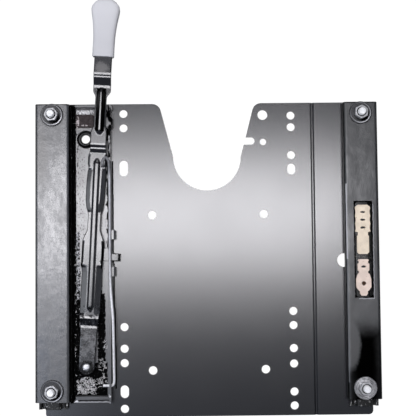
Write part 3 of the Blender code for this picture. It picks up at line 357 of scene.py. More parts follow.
def inner_rail():
    """Dark lower rail, with crumbs between the glides and flecks of grease at its rear end."""
    f = Finish("inner_rail", (0.008, 0.008, 0.008), 0.34, 0.0, 0.3)
    f.cloud(90.0, 0.08, 0.3)
    f.grain(500.0, 0.15, 0.0004, 3.0)
    crumbs = step(f.tree, spots(f.tree, 560.0, 4.0, rough=0.75), 0.5, 0.57)
    inside = strip(f.tree, ground(f.tree, 0.4, 300.0), 157.0, 175.0, -9.6, -4.6, 0.6)
    f.lay(both(f.tree, crumbs, inside), (0.13, 0.125, 0.115), 0.5)
    ends = spots(f.tree, 300.0, 4.0, rough=0.8, shift=2.0)
    at_end = strip(f.tree, ground(f.tree), -190.0, 190.0, -200.0, -152.0, 1.0)
    f.lay(both(f.tree, step(f.tree, ends, 0.6, 0.64), at_end), (0.55, 0.55, 0.55), 0.5)
    return f.done()


def nylon(front):
    """Stained nylon, brown round the slits and the peg's bore."""
    slits = (39.8, 31.5, 23.2) if front else (-18.4,)
    bore = -36.2
    f = Finish("nylon_front" if front else "nylon_rear",
               (0.9, 0.76, 0.585) if front else (0.88, 0.71, 0.6), 0.42, 0.0, 0.5)
    f.cloud(150.0, 0.08, 0.06)
    f.grain(900.0, 0.06, 0.0002)
    place = ground(f.tree, 0.5, 420.0)
    brown = (0.05, 0.022, 0.008)
    for y in slits:
        for side in (-1, 1):
            f.lay(blot(f.tree, place, (side * GLIDE_X, y), (2.7, 1.15), 0.3), brown, 0.5, 0.6)
    if not front:
        for side in (-1, 1):
            f.lay(blot(f.tree, place, (side * GLIDE_X, bore), (2.3, 2.3), 0.25), brown, 0.5, 0.6)
    rim = spots(f.tree, 330.0, 4.0, rough=0.7, shift=3.0)
    f.lay(step(f.tree, rim, 0.62, 0.72), (0.42, 0.29, 0.18), 0.5)
    return f.done()


def tray_coat():
    """Glossy black with specks and a dirty well, with painted shade along its left edge, on its right wall and
    on its rear ledge, and a painted highlight line and glints on the rear ledge.
    """
    f = Finish("tray_coat", (0.07, 0.07, 0.074), 0.25, 0.0, 1.0)
    tree = f.tree
    f.cloud(30.0, 0.012, 0.2)
    fine = ground(tree, 0.8, 500.0)
    wide = ground(tree, 2.2, 200.0)
    speck = step(tree, spots(tree, 560.0, 3.0, (1.0, 0.8, 1.0), 0.75), 0.565, 0.605)
    f.blacken(both(tree, speck, strip(tree, fine, -142.0, -130.5, 16.0, 131.0, 1.5)))
    speck = step(tree, spots(tree, 700.0, 3.0, rough=0.75, shift=6.0), 0.62, 0.67)
    f.blacken(both(tree, speck, strip(tree, fine, -142.0, -104.0, -60.0, 131.0, 2.0)))
    dots = step(tree, spots(tree, 420.0, 2.0, (1.0, 0.5, 1.0), 0.6, 9.0), 0.5, 0.54)
    f.blacken(both(tree, dots, strip(tree, fine, -139.6, -138.0, 84.0, 114.0, 0.3)))
    # Painted shade: the tray's left flange and the gap by the rail are dead black.
    f.blacken(strip(tree, wide, -150.0, -141.6, -165.0, 165.0, 0.6))
    # Painted shade on the front of the right wall: dead black, except for spots left in the coat's own tone.
    wall = strip(tree, ground(tree, 0.5, 260.0), -106.2, -99.0, 100.5, 160.0, 0.8)
    lit = step(tree, spots(tree, 230.0, 3.0, (1.0, 0.5, 1.0), 0.6, 3.0), 0.52, 0.58)
    f.blacken(both(tree, wall, without(tree, both(tree, lit, 0.85))))
    # Painted shade beside the wire, along the inside of the right wall: dead black.
    f.blacken(strip(tree, wide, -107.6, -103.9, -10.0, 96.0, 0.5), 0.3)
    well = strip(tree, wide, -142.5, -120.5, 133.0, 148.5, 1.2)
    f.lay(well, (0.045, 0.033, 0.032), 0.42)
    mottle = step(tree, spots(tree, 420.0, 5.0, rough=0.7, shift=1.0), 0.5, 0.6)
    f.lay(both(tree, well, mottle), (0.11, 0.085, 0.08), 0.3)
    ledge = ground(tree, 0.4, 300.0)
    # Painted shade and highlights on the rear ledge: a dead black line, a light line along its rear edge, and
    # two light blots as glints.
    f.blacken(strip(tree, ledge, -143.0, -106.0, -157.7, -156.4, 0.25))
    f.lay(strip(tree, ledge, -143.0, -104.0, -159.3, -158.5, 0.25), (0.36, 0.36, 0.38), 0.4)
    f.lay(blot(tree, ledge, (-105.2, -152.4), (1.6, 1.2), 0.3), (0.6, 0.6, 0.62), 0.4)
    f.lay(blot(tree, ledge, (-140.2, -157.8), (1.7, 0.9), 0.3), (0.6, 0.6, 0.62), 0.4)
    f.grain(700.0, 0.05, 0.0002, 3.0)
    return f.done()


def lever_ground(tree, wander, scale):
    """Place on the lever in millimetres from its pivot, across it and along it."""
    off = vector(tree, "SUBTRACT", ground(tree, wander, scale), (*PIVOT, 0.0))
    right = (math.cos(LEAN), -math.sin(LEAN), 0.0)
    ahead = (math.sin(LEAN), math.cos(LEAN), 0.0)
    across = put(tree, "VectorMath", {0: off, 1: right}, out=1, operation="DOT_PRODUCT")
    along = put(tree, "VectorMath", {0: off, 1: ahead}, out=1, operation="DOT_PRODUCT")
    return put(tree, "CombineXYZ", {0: across, 1: along})


def lever_coat():
    """Glossy black, mottled and sooty on the tab, with painted shade along the neck bead's flanks and along the
    edges of the wide part, the tongue and the handle.
    """
    f = Finish("lever_coat", (0.013, 0.013, 0.016), 0.24, 0.0, 1.0)
    tree = f.tree
    f.cloud(60.0, 0.02, 0.2)
    tab = strip(tree, ground(tree, 1.6, 220.0), -142.0, -114.0, -136.0, -56.0, 3.0)
    f.lay(tab, (0.006, 0.0065, 0.008), 0.2)
    mottle = step(tree, spots(tree, 110.0, 6.0, rough=0.6), 0.48, 0.6)
    f.lay(both(tree, tab, mottle), (0.014, 0.015, 0.019), 0.29)
    sooty = step(tree, spots(tree, 190.0, 6.0, rough=0.7, shift=8.0), 0.5, 0.62)
    f.blacken(both(tree, tab, both(tree, sooty, 0.8)))
    round_pivot = blot(tree, ground(tree, 1.4, 260.0), (-129.3, -124.0), (8.6, 9.6), 0.25)
    f.blacken(both(tree, round_pivot, 0.85))
    dust = step(tree, spots(tree, 640.0, 4.0, rough=0.7, shift=4.0), 0.6, 0.66)
    f.lay(both(tree, tab, dust), (0.16, 0.16, 0.17), 0.5)
    sand = blot(tree, ground(tree, 1.2, 200.0), (-111.0, 195.5), (6.5, 5.5), 0.5)
    f.lay(sand, (0.05, 0.046, 0.046), 0.36)
    place = lever_ground(tree, 0.12, 300.0)
    # Painted shade: the steep flanks of the neck bead are dead black.
    for flank in (-2.9, 2.9):
        f.blacken(strip(tree, place, flank - 2.0, flank + 2.0, 250.5, 296.5, 0.4), 0.3)
    # Painted shade: dark lines along the edges of the wide part, the tongue and the handle.
    wide_part = ((-12.8, -10.2, 104.5, 133.0, 0.3), (9.2, 11.8, 104.5, 133.0, 0.3))
    tongue = ((27.2, 29.2, 112.0, 122.5, 0.25), (17.0, 29.0, 111.0, 114.2, 0.2),
              (17.0, 29.0, 120.7, 123.0, 0.2))
    handle = (8.6, 10.2, 313.0, 345.0, 0.25)
    for edge in (*wide_part, *tongue, handle):
        f.blacken(strip(tree, place, *edge))
    f.grain(900.0, 0.03, 0.0001)
    return f.done()


def grip_plastic():
    """Light grey plastic, a little lighter towards its tip."""
    f = Finish("grip_plastic", (0.645, 0.64, 0.66), 0.6, 0.0, 0.4)
    f.cloud(40.0, 0.03, 0.012)
    f.lay(strip(f.tree, ground(f.tree), -200.0, 0.0, 246.0, 400.0, 34.0), (0.76, 0.755, 0.775))
    f.grain(1400.0, 0.12, 0.0002, 2.0)
    f.grain(300.0, 0.03, 0.0006, 2.0)
    return f.done()


def steel(name, color, rough, metallic=1.0, rings=None, scratch=0.1):
    """Bare or plated metal with fine scratches, round a middle where rings says so."""
    f = Finish(name, color, rough, metallic, 0.6)
    f.cloud(320.0, 0.08, 0.12, detail=5.0)
    if rings:
        place = vector(f.tree, "SUBTRACT", ground(f.tree, 0.05, 300.0), (*rings, 0.0))
        far = length(f.tree, vector(f.tree, "MULTIPLY", place, (1.0, 1.0, 0.0)))
        lines = put(f.tree, "TexNoise", {"W": far, "Scale": 1.0, "Detail": 2.0, "Roughness": 0.8},
                    noise_dimensions="1D")
        f.relief(lines, 0.5, 0.0003)
        broken = step(f.tree, spots(f.tree, 240.0, 4.0, rough=0.6, shift=2.0), 0.44, 0.54)
        f.lay(both(f.tree, broken, step(f.tree, lines, 0.46, 0.56)), (0.05, 0.05, 0.052), 0.4)
    f.grain(900.0, scratch, 0.0003, 4.0, (1.0, 0.3, 1.0))
    return f.done()


def nut_zinc():
    """Plated nut with painted shade in a dark ring round the stud."""
    f = Finish("nut_zinc", (0.42, 0.42, 0.43), 0.42, 0.3, 0.3)
    f.cloud(320.0, 0.08, 0.2, detail=5.0)
    place = vector(f.tree, "ABSOLUTE", ground(f.tree))
    # Painted shade in the gap round the stud: dead black.
    f.blacken(blot(f.tree, place, (STUD_X, STUD_Y), (5.2, 5.2), 0.08))
    f.grain(900.0, 0.1, 0.0003, 4.0)
    return f.done()


def washer_coat():
    """Dark washer with a painted shadow beside the nut and a painted highlight on its rim."""
    f = Finish("washer_coat", (0.02, 0.0205, 0.023), 0.3, 0.0, 0.4)
    f.cloud(200.0, 0.06, 0.3)
    f.grain(700.0, 0.15, 0.0003, 4.0)
    place = ground(f.tree, 0.25, 300.0)
    for side, end in ((-1, 1), (-1, -1), (1, 1)):
        x, y = side * STUD_X, end * STUD_Y
        # Painted shadow of the nut, offset to one side: dead black.
        f.blacken(blot(f.tree, place, (x + 2.2, y - 3.4), (7.4, 6.4), 0.3))
        # Painted highlight: a light crescent on the rim, left between the whole washer and an offset inner
        # disc.
        whole = blot(f.tree, place, (x, y), (10.8, 10.8), 0.03)
        inner = blot(f.tree, place, (x - 0.35, y + 0.35), (10.35, 10.35), 0.03)
        f.lay(both(f.tree, whole, without(f.tree, inner)), (0.4, 0.4, 0.42), 0.35)
    return f.done()


def grease(name, color, rough, tint=0.25, specular=0.6, flecks=None, share=0.62):
    """Old grease: mottled, wet, and where flecks says so full of lighter crumbs."""
    f = Finish(name, color, rough, 0.0, specular)
    f.cloud(700.0, 0.1, tint, detail=5.0)
    if flecks:
        crumbs = spots(f.tree, 620.0, 4.0, rough=0.75, shift=5.0)
        f.lay(step(f.tree, crumbs, share, share + 0.04), flecks, 0.5)
    f.grain(1500.0, 0.3, 0.0003, 3.0)
    return f.done()


def floor():
    """Floor that shows white to camera, glossy and transmission rays and is dark to all others."""
    white = 0.97
    bm = bmesh.new()
    bmesh.ops.create_grid(bm, x_segments=1, y_segments=1, size=6.0)
    mesh = bpy.data.meshes.new("floor")
    bm.to_mesh(mesh)
    bm.free()
    obj = bpy.data.objects.new("floor", mesh)
    bpy.context.scene.collection.objects.link(obj)
    obj.location.z = -0.0005
    mat, tree, shader = material("floor", (0.1, 0.1, 0.1), 0.9, 0.0, 0.0)
    path = tree.nodes.new("ShaderNodeLightPath")
    seen = calc(tree, "MAXIMUM", path.outputs["Is Camera Ray"], path.outputs["Is Glossy Ray"])
    seen = calc(tree, "MAXIMUM", seen, path.outputs["Is Transmission Ray"])
    shader.inputs["Emission Color"].default_value = (1.0, 1.0, 1.0, 1.0)
    tree.links.new(calc(tree, "MULTIPLY", seen, white), shader.inputs["Emission Strength"])
    mesh.materials.append(mat)


def dress(node, mat, bevel=0.0, segments=2):
    """Gives a node of the part its finish, and rounds its sharp edges."""
    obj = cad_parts[node]
    for slot in obj.material_slots:
        slot.link = "OBJECT"
        slot.material = mat
    if bevel:
        weld = obj.modifiers.new("weld", "WELD")
        weld.merge_threshold = 0.000002
        flat = obj.modifiers.new("flat", "DECIMATE")
        flat.decimate_type = "DISSOLVE"
        flat.angle_limit = math.radians(1.0)
        edge = obj.modifiers.new("edge", "BEVEL")
        edge.width = bevel
        edge.segments = segments
        edge.limit_method = "ANGLE"
        edge.angle_limit = math.radians(40.0)
        edge.use_clamp_overlap = True
        shade = obj.modifiers.new("shade", "WEIGHTED_NORMAL")
        shade.keep_sharp = False


# Meshes


def place_mesh(name, bm, mat, body):
    """Turns a bmesh that is in metres in the frame into an object that rides on a body, if one is named."""
    sharp = math.radians(38.0)
    bmesh.ops.recalc_face_normals(bm, faces=bm.faces)
    for face in bm.faces:
        face.smooth = True
    for edge in bm.edges:
        if len(edge.link_faces) == 2 and edge.calc_face_angle(0.0) > sharp:
            edge.smooth = False
    mesh = bpy.data.meshes.new(name)
    bm.to_mesh(mesh)
    bm.free()
    mesh.materials.append(mat)
    obj = bpy.data.objects.new(name, mesh)
    bpy.context.scene.collection.objects.link(obj)
    if body:
        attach(obj, body)
    return obj


def skin(bm, rings):
    """Closed skin over rings of equally many vertices."""
    count = len(rings[0])
    for low, high in zip(rings, rings[1:]):
        for k in range(count):
            bm.faces.new((low[k], low[(k + 1) % count], high[(k + 1) % count], high[k]))
    bm.faces.new(rings[0][::-1])
    bm.faces.new(rings[-1])


def sweep(bm, points, radii, sides, squash=1.0):
    """Round bar along points in metres, with one radius for each point."""
    rings = []
    up = Vector((0.0, 0.0, 1.0))
    side = Vector((1.0, 0.0, 0.0))
    for i, point in enumerate(points):
        along = (points[min(i + 1, len(points) - 1)] - points[max(i - 1, 0)]).normalized()
        across = along.cross(up)
        if across.length > 0.2:
            side = across.normalized()
        high = side.cross(along).normalized()
        ring = []
        for k in range(sides):
            angle = 2 * math.pi * k / sides
            off = side * math.cos(angle) + high * math.sin(angle) * squash
            ring.append(bm.verts.new(point + off * radii[i]))
        rings.append(ring)
    skin(bm, rings)


def curve_through(points, steps):
    """Smooth line through points."""
    line = []
    last = len(points) - 1
    for i in range(last):
        p0, p1, p2, p3 = (points[max(i - 1, 0)], points[i], points[i + 1], points[min(i + 2, last)])
        for k in range(steps):
            t = k / steps
            line.append(0.5 * (2 * p1 + (p2 - p0) * t + (2 * p0 - 5 * p1 + 4 * p2 - p3) * t ** 2
                               + (3 * p1 - p0 - 3 * p2 + p3) * t ** 3))
    line.append(points[-1])
    return line


def between(value, low, high):
    """Smooth step from 0 at low to 1 at high."""
    share = min(max((value - low) / (high - low), 0.0), 1.0)
    return share * share * (3 - 2 * share)


def drill(obj, bm):
    """Cuts a closed bmesh out of an object and leaves no modifier behind."""
    bmesh.ops.recalc_face_normals(bm, faces=bm.faces)
    mesh = bpy.data.meshes.new("drill")
    bm.to_mesh(mesh)
    bm.free()
    tool = bpy.data.objects.new("drill", mesh)
    bpy.context.scene.collection.objects.link(tool)
    cut = obj.modifiers.new("cut", "BOOLEAN")
    cut.object = tool
    cut.operation = "DIFFERENCE"
    cut.solver = "EXACT"
    bpy.context.view_layer.update()
    done = bpy.data.meshes.new_from_object(obj.evaluated_get(bpy.context.evaluated_depsgraph_get()))
    obj.modifiers.remove(cut)
    obj.data = done
    bpy.data.objects.remove(tool)


# Lever

# Stations along the lever and distances across it are in millimetres from its pivot
THICK = 3.0
# Heights of the underside, one for each level stretch
LEVELS = (7.6, 10.6, 15.6, 21.6)
# Ramps from one level to the next: start, end, slope, where None is steep
JOGGLES = (((41.2, 43.4, -0.085), (44.2, 50.8, None), (51.4, 53.4, -0.1)),
           ((228.4, 231.2, None), (231.7, 233.3, 0.06), (233.6, 235.4, None), (235.9, 237.4, 0.05)),
           ((297.2, 299.4, 0.11), (300.0, 307.2, None), (307.7, 308.9, 0.12), (309.3, 310.1, None),
            (310.5, 312.4, 0.12)))
# Station and half widths to the left and right. The tongue reaches out between 113.3 and 121.5.
OUTLINE = ((36.0, 8.9, 8.9), (46.0, 9.6, 9.6), (56.0, 10.8, 10.8), (100.0, 10.8, 10.8), (107.0, 12.2, 10.8),
           (113.15, 12.2, 10.8), (113.3, 12.2, 28.6), (121.5, 12.2, 28.6), (121.65, 12.2, 18.0),
           (126.15, 12.2, 18.0), (126.3, 12.2, 11.6), (133.5, 12.2, 10.8), (145.0, 7.5, 6.3),
           (163.0, 7.5, 6.3), (168.0, 9.8, 7.8), (176.0, 11.2, 8.7), (197.0, 11.5, 9.2), (209.0, 10.6, 9.4),
           (212.0, 9.4, 8.0), (214.5, 11.2, 9.2), (225.5, 11.2, 9.2), (228.5, 9.2, 7.8), (251.0, 9.2, 7.6),
           (256.0, 6.5, 5.6), (288.0, 6.4, 5.8), (292.5, 9.2, 9.7), (354.0, 9.2, 9.6), (358.0, 6.4, 6.4))
# Start, end, half width, half width of the crest, height at the start and at the end
BEADS = ((58.0, 222.0, 3.9, 1.2, 2.4, 2.4), (246.0, 297.5, 5.3, 0.45, 2.6, 5.2))
RUN_OUT = 6.0
# The long bead lies a little across the lever, over this stretch
LEANING = (53.0, 227.0)
BEAD_LEAN = math.tan(math.radians(0.56))
BEAD_CENTRE = 105.0
# Edges pressed down: start, end, depth, width
DROPS = ((54.0, 108.0, 2.3, 6.4), (109.0, 134.0, 1.7, 2.4), (164.0, 211.5, 1.8, 4.9),
         (212.5, 227.5, 1.5, 2.2))
DROP_LEAD = 3.0
DROP_EDGE = 11.6
EDGE = 0.9
STATION_GAP = 0.45
# Stretch where the outline is smoothed
SMOOTHED = (130.0, 350.0)
TAB_RADIUS = 8.5
PIVOT_HOLE = 3.3
HOOK = (5.2, 214.0)
HOOK_HOLE = 1.95
HOLE_SIDES = 32


def on_lever(across, along, z):
    """A place on the lever, from its pivot, turned into the frame of the part."""
    x = PIVOT[0] + across * math.cos(LEAN) + along * math.sin(LEAN)
    y = PIVOT[1] + along * math.cos(LEAN) - across * math.sin(LEAN)
    return mm(x, y, z)


def joggle(u, ramps, rise):
    """Height gained at u over a row of straight ramps with short bends between.

    The steep ramps share the rise that the gentle ones leave.
    """
    bend = 0.25
    gentle = sum((end - start + bend) * slope for start, end, slope in ramps if slope is not None)
    run = sum(end - start + bend for start, end, slope in ramps if slope is None)
    steep = (rise - gentle) / run
    z = 0.0
    for start, end, slope in ramps:
        low, high = start - bend, end + bend
        slope = steep if slope is None else slope
        full = end - start + bend
        if u >= high:
            z += slope * full
        elif u > low:
            first = min(u - low, bend)
            last = max(u - end, 0.0)
            straight = max(min(u, end) - start, 0.0)
            z += slope * (first ** 2 / (2 * bend) + straight + last - last ** 2 / (2 * bend))
    return z


def lever_height(u):
    """Height of the lever's underside at a station."""
    return LEVELS[0] + sum(joggle(u, ramps, high - low)
                           for ramps, low, high in zip(JOGGLES, LEVELS, LEVELS[1:]))


def lever_section(u, left, right):
    """Across the lever at a station: place, height of the pressed form, and how far the edges are rounded."""
    middle = (BEAD_CENTRE - u) * BEAD_LEAN if LEANING[0] < u < LEANING[1] else 0.0
    bead = None
    for start, end, half, crest, height, far_height in BEADS:
        if start < u < end:
            height += (far_height - height) * (u - start) / (end - start)
            rise = between(u, start, start + RUN_OUT) * between(-u, -end, -end + RUN_OUT)
            bead = (half * (0.55 + 0.45 * rise), crest * rise, height * rise)
    drops = [(depth * between(u, a, a + DROP_LEAD) * between(-u, -b, -b + DROP_LEAD), width)
             for a, b, depth, width in DROPS if a < u < b]
    fine = 4.9
    near_left = min(fine, left * 0.6)
    near_right = min(fine, right * 0.6)
    body = min(right * 0.97, 11.75)
    marks = (1.0, 0.97, 0.92, 0.85, 0.74, 0.6, 0.45, 0.3, 0.15, 0.0)
    span = 26
    line = [-near_left - mark * (left - near_left) for mark in marks]
    line += [-near_left + (near_left + near_right) * k / span for k in range(1, span)]
    line += [near_right + mark * (body - near_right) for mark in reversed(marks)]
    line += [body + mark * (right - body) for mark in (0.3, 0.6, 0.85, 1.0)]
    section = []
    for v in line:
        z = 0.0
        if bead:
            half, crest, height = bead
            z += height * (1.0 - between(abs(v - middle), crest, half))
        side = left if v < 0 else min(right, DROP_EDGE)
        for depth, width in drops:
            z -= depth * min(max((abs(v) - side + width) / width, 0.0), 1.0)
        rim = left + v if v < 0 else right - v
        curl = EDGE - math.sqrt(max(EDGE ** 2 - (EDGE - rim) ** 2, 0.0)) if rim < EDGE else 0.0
        section.append((v, z, curl))
    return section


def lever():
    """Finer strap in place of the lever, with rounded edges, pressed beads and soft joggles."""
    outline = [(-TAB_RADIUS * math.cos(math.radians(a)), TAB_RADIUS * math.sin(math.radians(a)))
               for a in (4, 10, 18, 26, 34, 42, 50, 58, 66, 74, 82, 90)]
    outline = [(u, w, w) for u, w in outline] + list(OUTLINE)
    stations = []
    for (u0, l0, r0), (u1, l1, r1) in zip(outline, outline[1:]):
        count = max(1, int((u1 - u0) / STATION_GAP))
        for i in range(count):
            t = i / count
            stations.append((u0 + (u1 - u0) * t, l0 + (l1 - l0) * t, r0 + (r1 - r0) * t))
    stations.append(outline[-1])
    bm = bmesh.new()
    rings = []
    for i, (u, left, right) in enumerate(stations):
        if SMOOTHED[0] < u < SMOOTHED[1]:
            near = stations[i - 4:i + 5]
            left = sum(s[1] for s in near) / len(near)
            right = sum(s[2] for s in near) / len(near)
        base = lever_height(u)
        section = lever_section(u, left, right)
        ring = [bm.verts.new(on_lever(v, u, base + z + THICK - curl)) for v, z, curl in section]
        ring += [bm.verts.new(on_lever(v, u, base + z + curl)) for v, z, curl in reversed(section)]
        rings.append(ring)
    skin(bm, rings)
    obj = place_mesh("lever_strap", bm, lever_coat(), None)
    holes = bmesh.new()
    for across, along, size in ((0.0, 0.0, PIVOT_HOLE), (*HOOK, HOOK_HOLE)):
        rings = []
        for z in (0.0, 30.0):
            rings.append([holes.verts.new(on_lever(across + size * math.cos(2 * math.pi * k / HOLE_SIDES),
                                                   along + size * math.sin(2 * math.pi * k / HOLE_SIDES), z))
                          for k in range(HOLE_SIDES)])
        skin(holes, rings)
    drill(obj, holes)
    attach(obj, "lever")
    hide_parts("lock_lever")


WIRE_RADIUS = 0.00145


def wire_steel():
    """Bright wire that dulls towards its hook."""
    f = Finish("wire_steel", (0.82, 0.82, 0.84), 0.4, 0.2, 0.4)
    f.lay(strip(f.tree, ground(f.tree), -200.0, 0.0, -34.0, 200.0, 26.0), (0.4, 0.4, 0.42))
    f.lay(strip(f.tree, ground(f.tree), -200.0, 0.0, 84.0, 200.0, 6.0), (0.16, 0.16, 0.17))
    f.cloud(500.0, 0.08, 0.1)
    f.grain(1400.0, 0.1, 0.0002, 2.0, (1.0, 0.1, 1.0))
    return f.done()


def wire():
    """Bright wire: bar through the wall, long leg along it, hook down into the lever."""
    hook_x = PIVOT[0] + HOOK[0] * math.cos(LEAN) + HOOK[1] * math.sin(LEAN)
    hook_y = PIVOT[1] + HOOK[1] * math.cos(LEAN) - HOOK[0] * math.sin(LEAN)
    bar_y = PIVOT[1] - 20.0
    rear_x = -100.6
    rear_z = 9.2
    high_z = 15.3
    over = -103.9
    beside = -101.25
    leg = hook_y - bar_y
    route = [(-112.2, bar_y, rear_z), (-108.0, bar_y, rear_z), (-104.2, bar_y, rear_z),
             (-102.0, bar_y + 0.6, rear_z)]
    rising = ((0.017, rear_x, 0.02), (0.071, rear_x, 0.09), (0.153, rear_x - 0.1, 0.31),
              (0.238, beside + 0.5, 0.7), (0.324, beside, 0.95), (0.436, over + 0.7, 1.0),
              (0.547, over + 0.1, 1.0), (0.693, over, 1.0), (0.864, over, 1.0), (1.0, over - 0.5, 1.0))
    route += [(x, bar_y + leg * share, rear_z + (high_z - rear_z) * climb) for share, x, climb in rising]
    route += [(over - 2.4, hook_y + 7.4, high_z), (over - 5.2, hook_y + 8.6, high_z),
              (hook_x - 0.2, hook_y + 4.6, high_z), (hook_x, hook_y + 1.2, high_z - 0.4),
              (hook_x, hook_y, high_z - 1.8), (hook_x, hook_y, 11.2)]
    line = curve_through([mm(*p) for p in route], 8)
    bm = bmesh.new()
    sweep(bm, line, [WIRE_RADIUS] * len(line), 16)
    obj = place_mesh("lever_wire", bm, wire_steel(), None)
    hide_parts("lever_spring")
    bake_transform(obj)


# Fasteners

STUD_AT = {"front_left": (-1, 1), "rear_left": (-1, -1), "front_right": (1, 1), "rear_right": (1, -1)}


def threaded_stud(name, mat):
    """Stud with a rolled thread and a chamfered end, standing in for the plain one."""
    low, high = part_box("stud_" + name)
    side, end = STUD_AT[name]
    spot = mm(side * STUD_X, end * STUD_Y)
    thread_from = 0.0193
    pitch = 0.00125
    outer = 0.004
    depth = 0.00055
    head = 0.0065
    head_top = low.z + 0.0018
    sides = 32
    rings = [[(low.z, head)] * sides, [(head_top, head)] * sides, [(head_top, outer)] * sides,
             [(thread_from, outer)] * sides]
    z = thread_from + 0.0002
    while z < high.z - 0.0009:
        phases = [(z / pitch - k / sides) % 1.0 for k in range(sides)]
        rings.append([(z, outer - depth * (1.0 - abs(2.0 * phase - 1.0)) ** 0.8) for phase in phases])
        z += pitch / 8
    for down, r in ((0.0006, 0.0036), (0.0, 0.0031), (0.0, 0.0027), (0.0001, 0.0006)):
        rings.append([(high.z - down, r)] * sides)
    bm = bmesh.new()
    made = []
    for ring in rings:
        made.append([bm.verts.new((spot.x + r * math.cos(2 * math.pi * k / sides),
                                   spot.y + r * math.sin(2 * math.pi * k / sides), z))
                     for k, (z, r) in enumerate(ring)])
    skin(bm, made)
    obj = place_mesh("thread_" + name, bm, mat, "carriage")
    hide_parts("stud_" + name)


# Grease, and black strips of painted shade


def smear(bm, spot, size, height, low, seed, grain, lump, cut, cell=0.4, square=False):
    """Patch of grease or of painted shade: a low relief with a ragged edge, closed a little below the face it
    lies on.

    The patch is an ellipse or, where square says so, a rectangle of these half sizes. Of two cells that
    meet across a corner alone one is left out, so that the skin stays closed and simple.
    """
    ramp = 1.2
    tall = {}
    for i in range(int(2 * size[0] / cell) + 1):
        for j in range(int(2 * size[1] / cell) + 1):
            a = -size[0] + i * cell
            b = -size[1] + j * cell
            n = field.fractal(Vector((a * grain + seed * 7.3, b * grain, seed * 3.1)), 0.8, 2.1, 3)
            level = 1.0 - (a / size[0]) ** 2 - (b / size[1]) ** 2 + n * lump - cut
            if square:
                rim = min(size[0] - abs(a), size[1] - abs(b))
                level = rim / ramp + n * lump - cut
            if level > 0.0:
                tall[i, j] = height * min(level, 1.0) * (0.65 + 0.35 * math.sin(3.0 * n + seed))
    keep = {(i, j) for i, j in tall if (i + 1, j) in tall and (i, j + 1) in tall and (i + 1, j + 1) in tall}
    changed = True
    while changed:
        changed = False
        for i, j in sorted(keep):
            for a in (1, -1):
                if (i + a, j + 1) in keep and (i + a, j) not in keep and (i, j + 1) not in keep:
                    keep.discard((i, j))
                    changed = True
    made = {}

    def corner(key, top):
        if (key, top) not in made:
            x = spot[0] - size[0] + key[0] * cell
            y = spot[1] - size[1] + key[1] * cell
            made[key, top] = bm.verts.new(mm(x, y, low + (max(tall[key], 0.05) if top else -0.1)))
        return made[key, top]

    for i, j in sorted(keep):
        around = ((i, j), (i + 1, j), (i + 1, j + 1), (i, j + 1))
        bm.faces.new([corner(k, True) for k in around])
        bm.faces.new([corner(k, False) for k in reversed(around)])
        for n, (di, dj) in enumerate(((0, -1), (1, 0), (0, 1), (-1, 0))):
            if (i + di, j + dj) not in keep:
                a, b = around[n], around[(n + 1) % 4]
                bm.faces.new((corner(b, True), corner(a, True), corner(a, False), corner(b, False)))


def curls(bm, spot, size, low, seed, count, radius):
    """Curly ridges of grease that has been pushed about."""
    pace = 0.45
    draw = random.Random(seed)
    for _ in range(count):
        turn = draw.uniform(0, 2 * math.pi)
        far = math.sqrt(draw.random())
        x = spot[0] + size[0] * far * math.cos(turn)
        y = spot[1] + size[1] * far * math.sin(turn)
        heading = draw.uniform(0, 2 * math.pi)
        bend = draw.uniform(-1.2, 1.2)
        points = []
        for _ in range(draw.randint(6, 14)):
            points.append(mm(x, y, low + draw.uniform(0.0, 0.25)))
            x += pace * math.cos(heading)
            y += pace * math.sin(heading)
            bend += draw.uniform(-0.25, 0.25)
            heading += bend * pace
            if abs(x - spot[0]) > size[0] or abs(y - spot[1]) > size[1]:
                break
        kept = [points[0]]
        for p in points[1:]:
            if (p - kept[-1]).length > 0.0003:
                kept.append(p)
        if len(kept) > 3:
            radii = [radius * 0.001 * (0.45 + 0.55 * math.sin(math.pi * (i + 0.5) / len(kept)))
                     for i in range(len(kept))]
            sweep(bm, kept, radii, 6, 0.8)


def eyelet(mat):
    """Rolled black rim round the hole in the tray."""
    profile = [(4.62, 5.5), (4.62, 7.6), (4.9, 8.4), (5.5, 8.9), (6.3, 9.05), (7.2, 8.95), (8.0, 8.5),
               (8.6, 7.7), (8.9, 6.6), (9.3, 5.9), (9.8, 5.65), (9.9, 5.5)]
    bm = bmesh.new()
    sides = 48
    rings = []
    for k in range(sides):
        angle = 2 * math.pi * k / sides
        rings.append([bm.verts.new(mm(EYELET[0] + r * math.cos(angle), EYELET[1] + r * math.sin(angle), z))
                      for r, z in profile])
    count = len(profile)
    for k in range(sides):
        here, there = rings[k], rings[(k + 1) % sides]
        for n in range(count):
            m = (n + 1) % count
            bm.faces.new((here[n], here[m], there[m], there[n]))
    place_mesh("eyelet_rim", bm, mat, "carriage")


